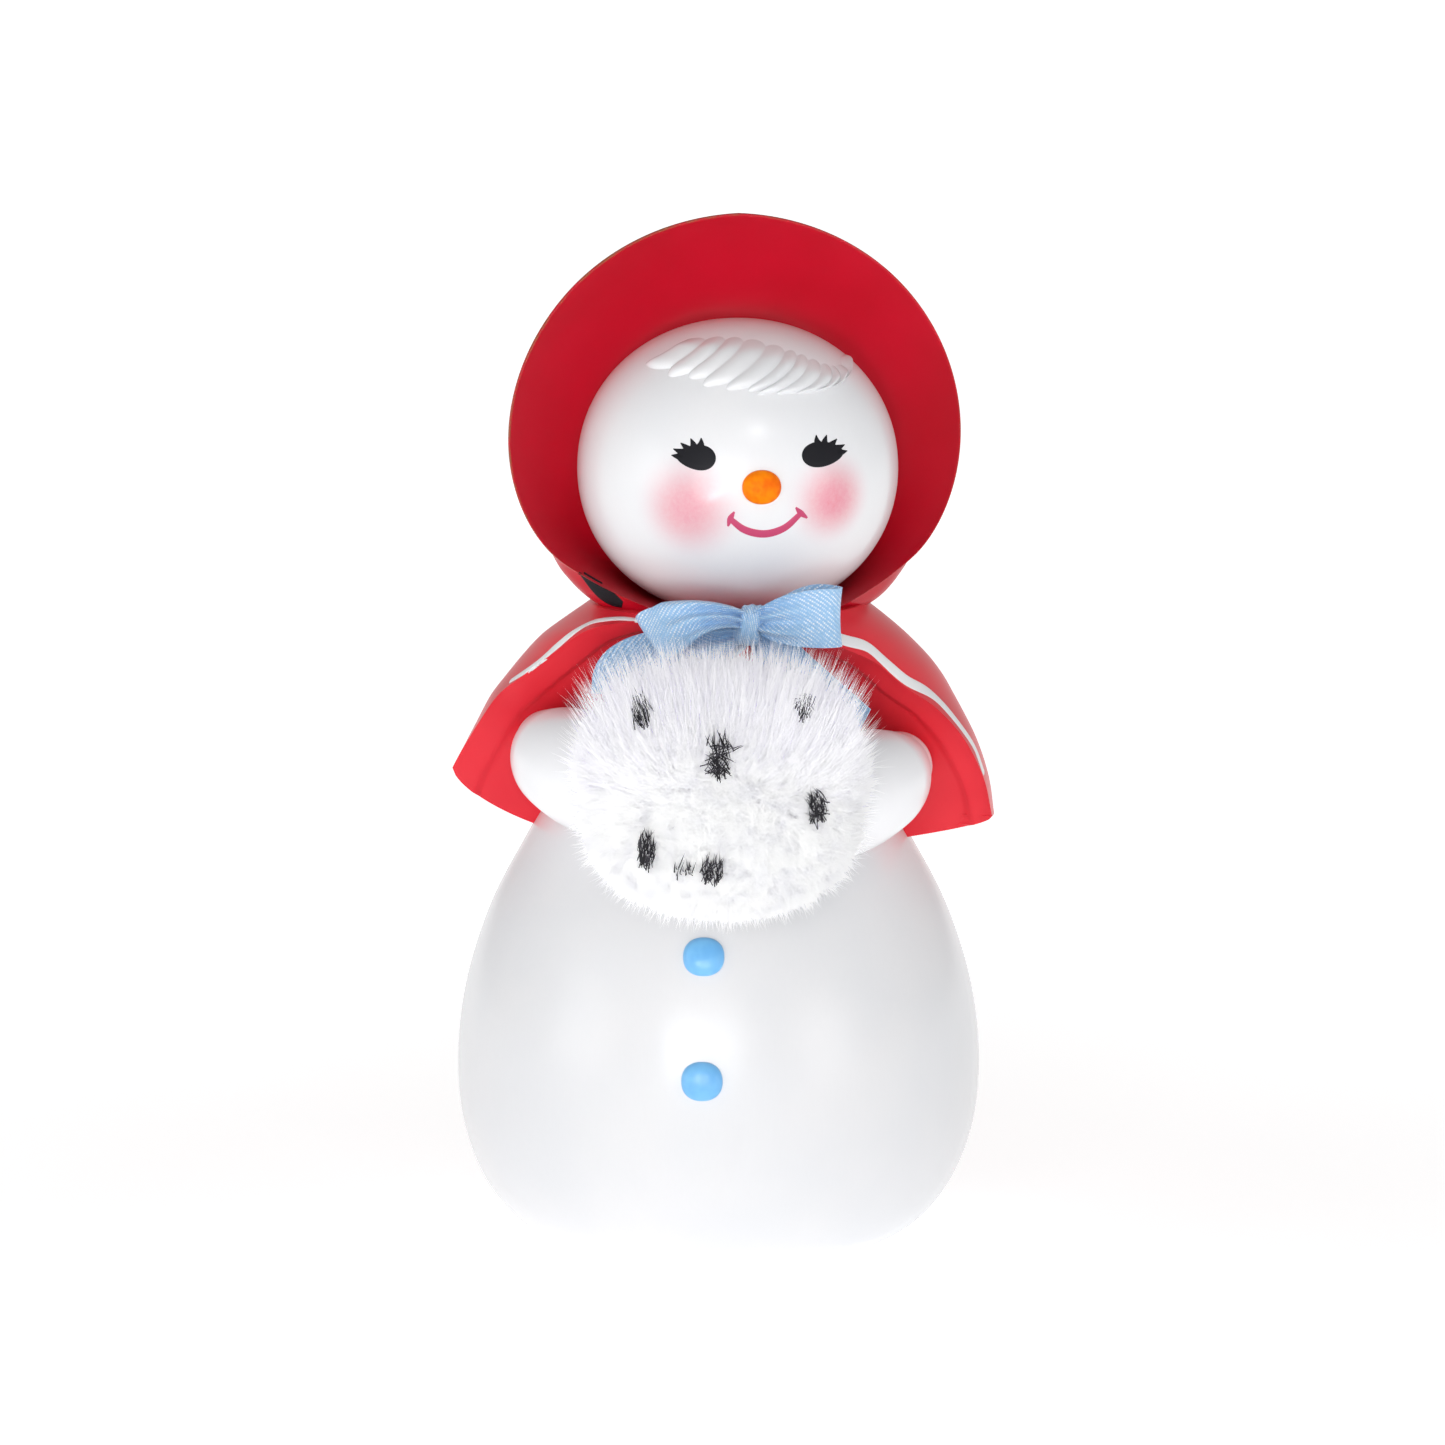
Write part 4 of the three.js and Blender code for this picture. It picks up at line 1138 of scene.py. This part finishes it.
# Azimuth, elevation, distance, size and power; a small lamp's target in millimetres and its beam in degrees.
BIG_LAMPS = [
    ("front", -4, 2, 2.2, 1.3, 10.0),
    ("card", -2, -5, 0.6, 0.36, 0.7),
    ("left_fill", -60, 6, 1.5, 0.7, 2.5),
    ("right_fill", 52, 4, 1.5, 0.6, 1.9),
    ("top", 0, 76, 1.2, 0.6, 0.3),
]
SMALL_LAMPS = [
    ("chin_fill", 0, -8, 0.45, 0.12, 0.0045, (2, -22, 120), 11),
    ("belly_gleam", -12, 5, 0.45, 0.05, 0.001, (-3, -45, 47), 14),
    ("brow_gleam", 20, 33, 0.45, 0.05, 0.0012, (8, -25, 150), 16),
]


def make_lights():
    """A studio brighter low down than overhead, soft lamps in front, at the sides and above.

    Three small lamps with narrow beams light only the chin, the belly and the brow."""
    world = bpy.data.worlds.new("studio")
    world.use_nodes = True
    nodes, links = world.node_tree.nodes, world.node_tree.links
    way = nodes.new("ShaderNodeTexCoord")
    height = nodes.new("ShaderNodeSeparateXYZ")
    sky = nodes.new("ShaderNodeMapRange")
    sky.interpolation_type = "SMOOTHSTEP"
    for index, value in enumerate((HORIZON_END, SKY_START, HORIZON, SKY), 1):
        sky.inputs[index].default_value = value
    links.new(way.outputs["Generated"], height.inputs[0])
    links.new(height.outputs["Z"], sky.inputs["Value"])
    links.new(sky.outputs["Result"], nodes["Background"].inputs["Strength"])
    nodes["Background"].inputs["Color"].default_value = (1, 1, 1, 1)
    bpy.context.scene.world = world
    for lamp in BIG_LAMPS:
        softbox(*lamp, middle)
    for *lamp, target, spread in SMALL_LAMPS:
        softbox(*lamp, Vector(target) * MM, spread)


def make_camera():
    """A long lens, a little above the figure and a little to its left."""
    camera = bpy.data.objects.new("camera", bpy.data.cameras.new("camera"))
    camera.data.lens = 172.4
    camera.data.clip_end = 100
    aim(camera, 3.5, 8.5, 1.2, (0.7 * MM, 0, 90.5 * MM))
    bpy.context.scene.collection.objects.link(camera)
    bpy.context.scene.camera = camera


# ---------- assembly ----------
def dress_hidden_nodes(wood, wadding):
    """Materials for the dowels and for the wadding in the muff."""
    looks = {"neck_dowel": wood, "left_arm_dowel": wood, "right_arm_dowel": wood, "muff_padding": wadding}
    for name, look in looks.items():
        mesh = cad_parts[name].data
        mesh.materials.clear()
        mesh.materials.append(look)


def main():
    bpy.context.scene.view_settings.view_transform = "Standard"
    snow = brushed_paint("snow_enamel", WHITE, SOFT_WHITE, 0.27).material
    # The arms take a lighter copy of the white enamel: painted light that brightens the arms where they sit
    # in shade.
    lit_sleeve_white = brushed_paint("sleeve_enamel_lit", linear(241, 241, 244), linear(238, 239, 242), 0.27).material
    red = worn_red_paint("red_enamel", linear(194, 4, 36), linear(182, 1, 28))
    # The cape's red is a lighter copy of the hood's red enamel: painted light that brightens the cape.
    lit_cape_red = worn_red_paint("cape_enamel_lit", linear(232, 48, 60), linear(220, 34, 50))
    cheeks = [(tuple(float(k) for k in on_head(np.array(x * MM), np.array(z * MM))), reach * MM, strength)
              for (x, z), reach, strength in CHEEKS]
    blue = brushed_paint("blue_enamel", linear(122, 192, 242), linear(106, 178, 236), 0.3, pool=330).material
    carrot, dark_carrot = linear(252, 140, 2), linear(232, 98, 0)
    orange = brushed_paint("orange_enamel", carrot, dark_carrot, 0.5, 0.1, 0.0, 420).material
    black = brushed_paint("black_enamel", linear(24, 24, 30), linear(18, 18, 24), 0.5, 0.2, 0.0).material
    pink = brushed_paint("pink_enamel", linear(196, 70, 110), linear(186, 60, 100), 0.4, 0.3, 0.05).material
    line_white = brushed_paint("line_enamel", linear(240, 240, 241), linear(236, 236, 238), 0.3).material
    ribbon = satin("blue_satin")

    make_body(snow)
    make_head(face_paint("face_enamel", cheeks))
    make_face(black, pink)
    make_hair(snow)
    make_nose(orange)
    make_cape_lines(make_cape(lit_cape_red), make_hood(red), line_white, black)
    for name in ARMS:
        make_arm(name, lit_sleeve_white)
    for name in ("upper_button", "lower_button"):
        make_button(name, blue)
    for name in BOW:
        make_ribbon(name, ribbon)
    make_knot(ribbon)
    make_muff_backing(felted("knitted_backing", linear(244, 244, 246), linear(226, 226, 232)))
    whites = [strand_look("fur_white", (0.96, 0.96, 0.965), glow=FUR_GLOW),
              strand_look("fur_snow", (0.97, 0.97, 0.97), glow=FUR_GLOW),
              strand_look("fur_shade", (0.88, 0.88, 0.92), glow=0.7 * FUR_GLOW),
              # The grey-lilac look is painted shade for the top hairs; the last look's stronger glow is
              # painted light for them.
              strand_look("fur_lilac_shade", (0.7, 0.68, 0.82), glow=FUR_GLOW),
              strand_look("fur_top_glow", (0.96, 0.955, 0.98), glow=1.45 * FUR_GLOW)]
    make_fur(whites)
    make_guard_hairs(whites)
    soot = strand_look("fur_black", (0.012, 0.011, 0.016))
    make_spots([soot, strand_look("fur_grey", (0.06, 0.055, 0.07))])
    wadding = felted("wadding", linear(243, 239, 230), linear(225, 219, 205))
    dress_hidden_nodes(bare_wood("bare_beech"), wadding)
    make_stage()
    make_lights()
    make_camera()


main()
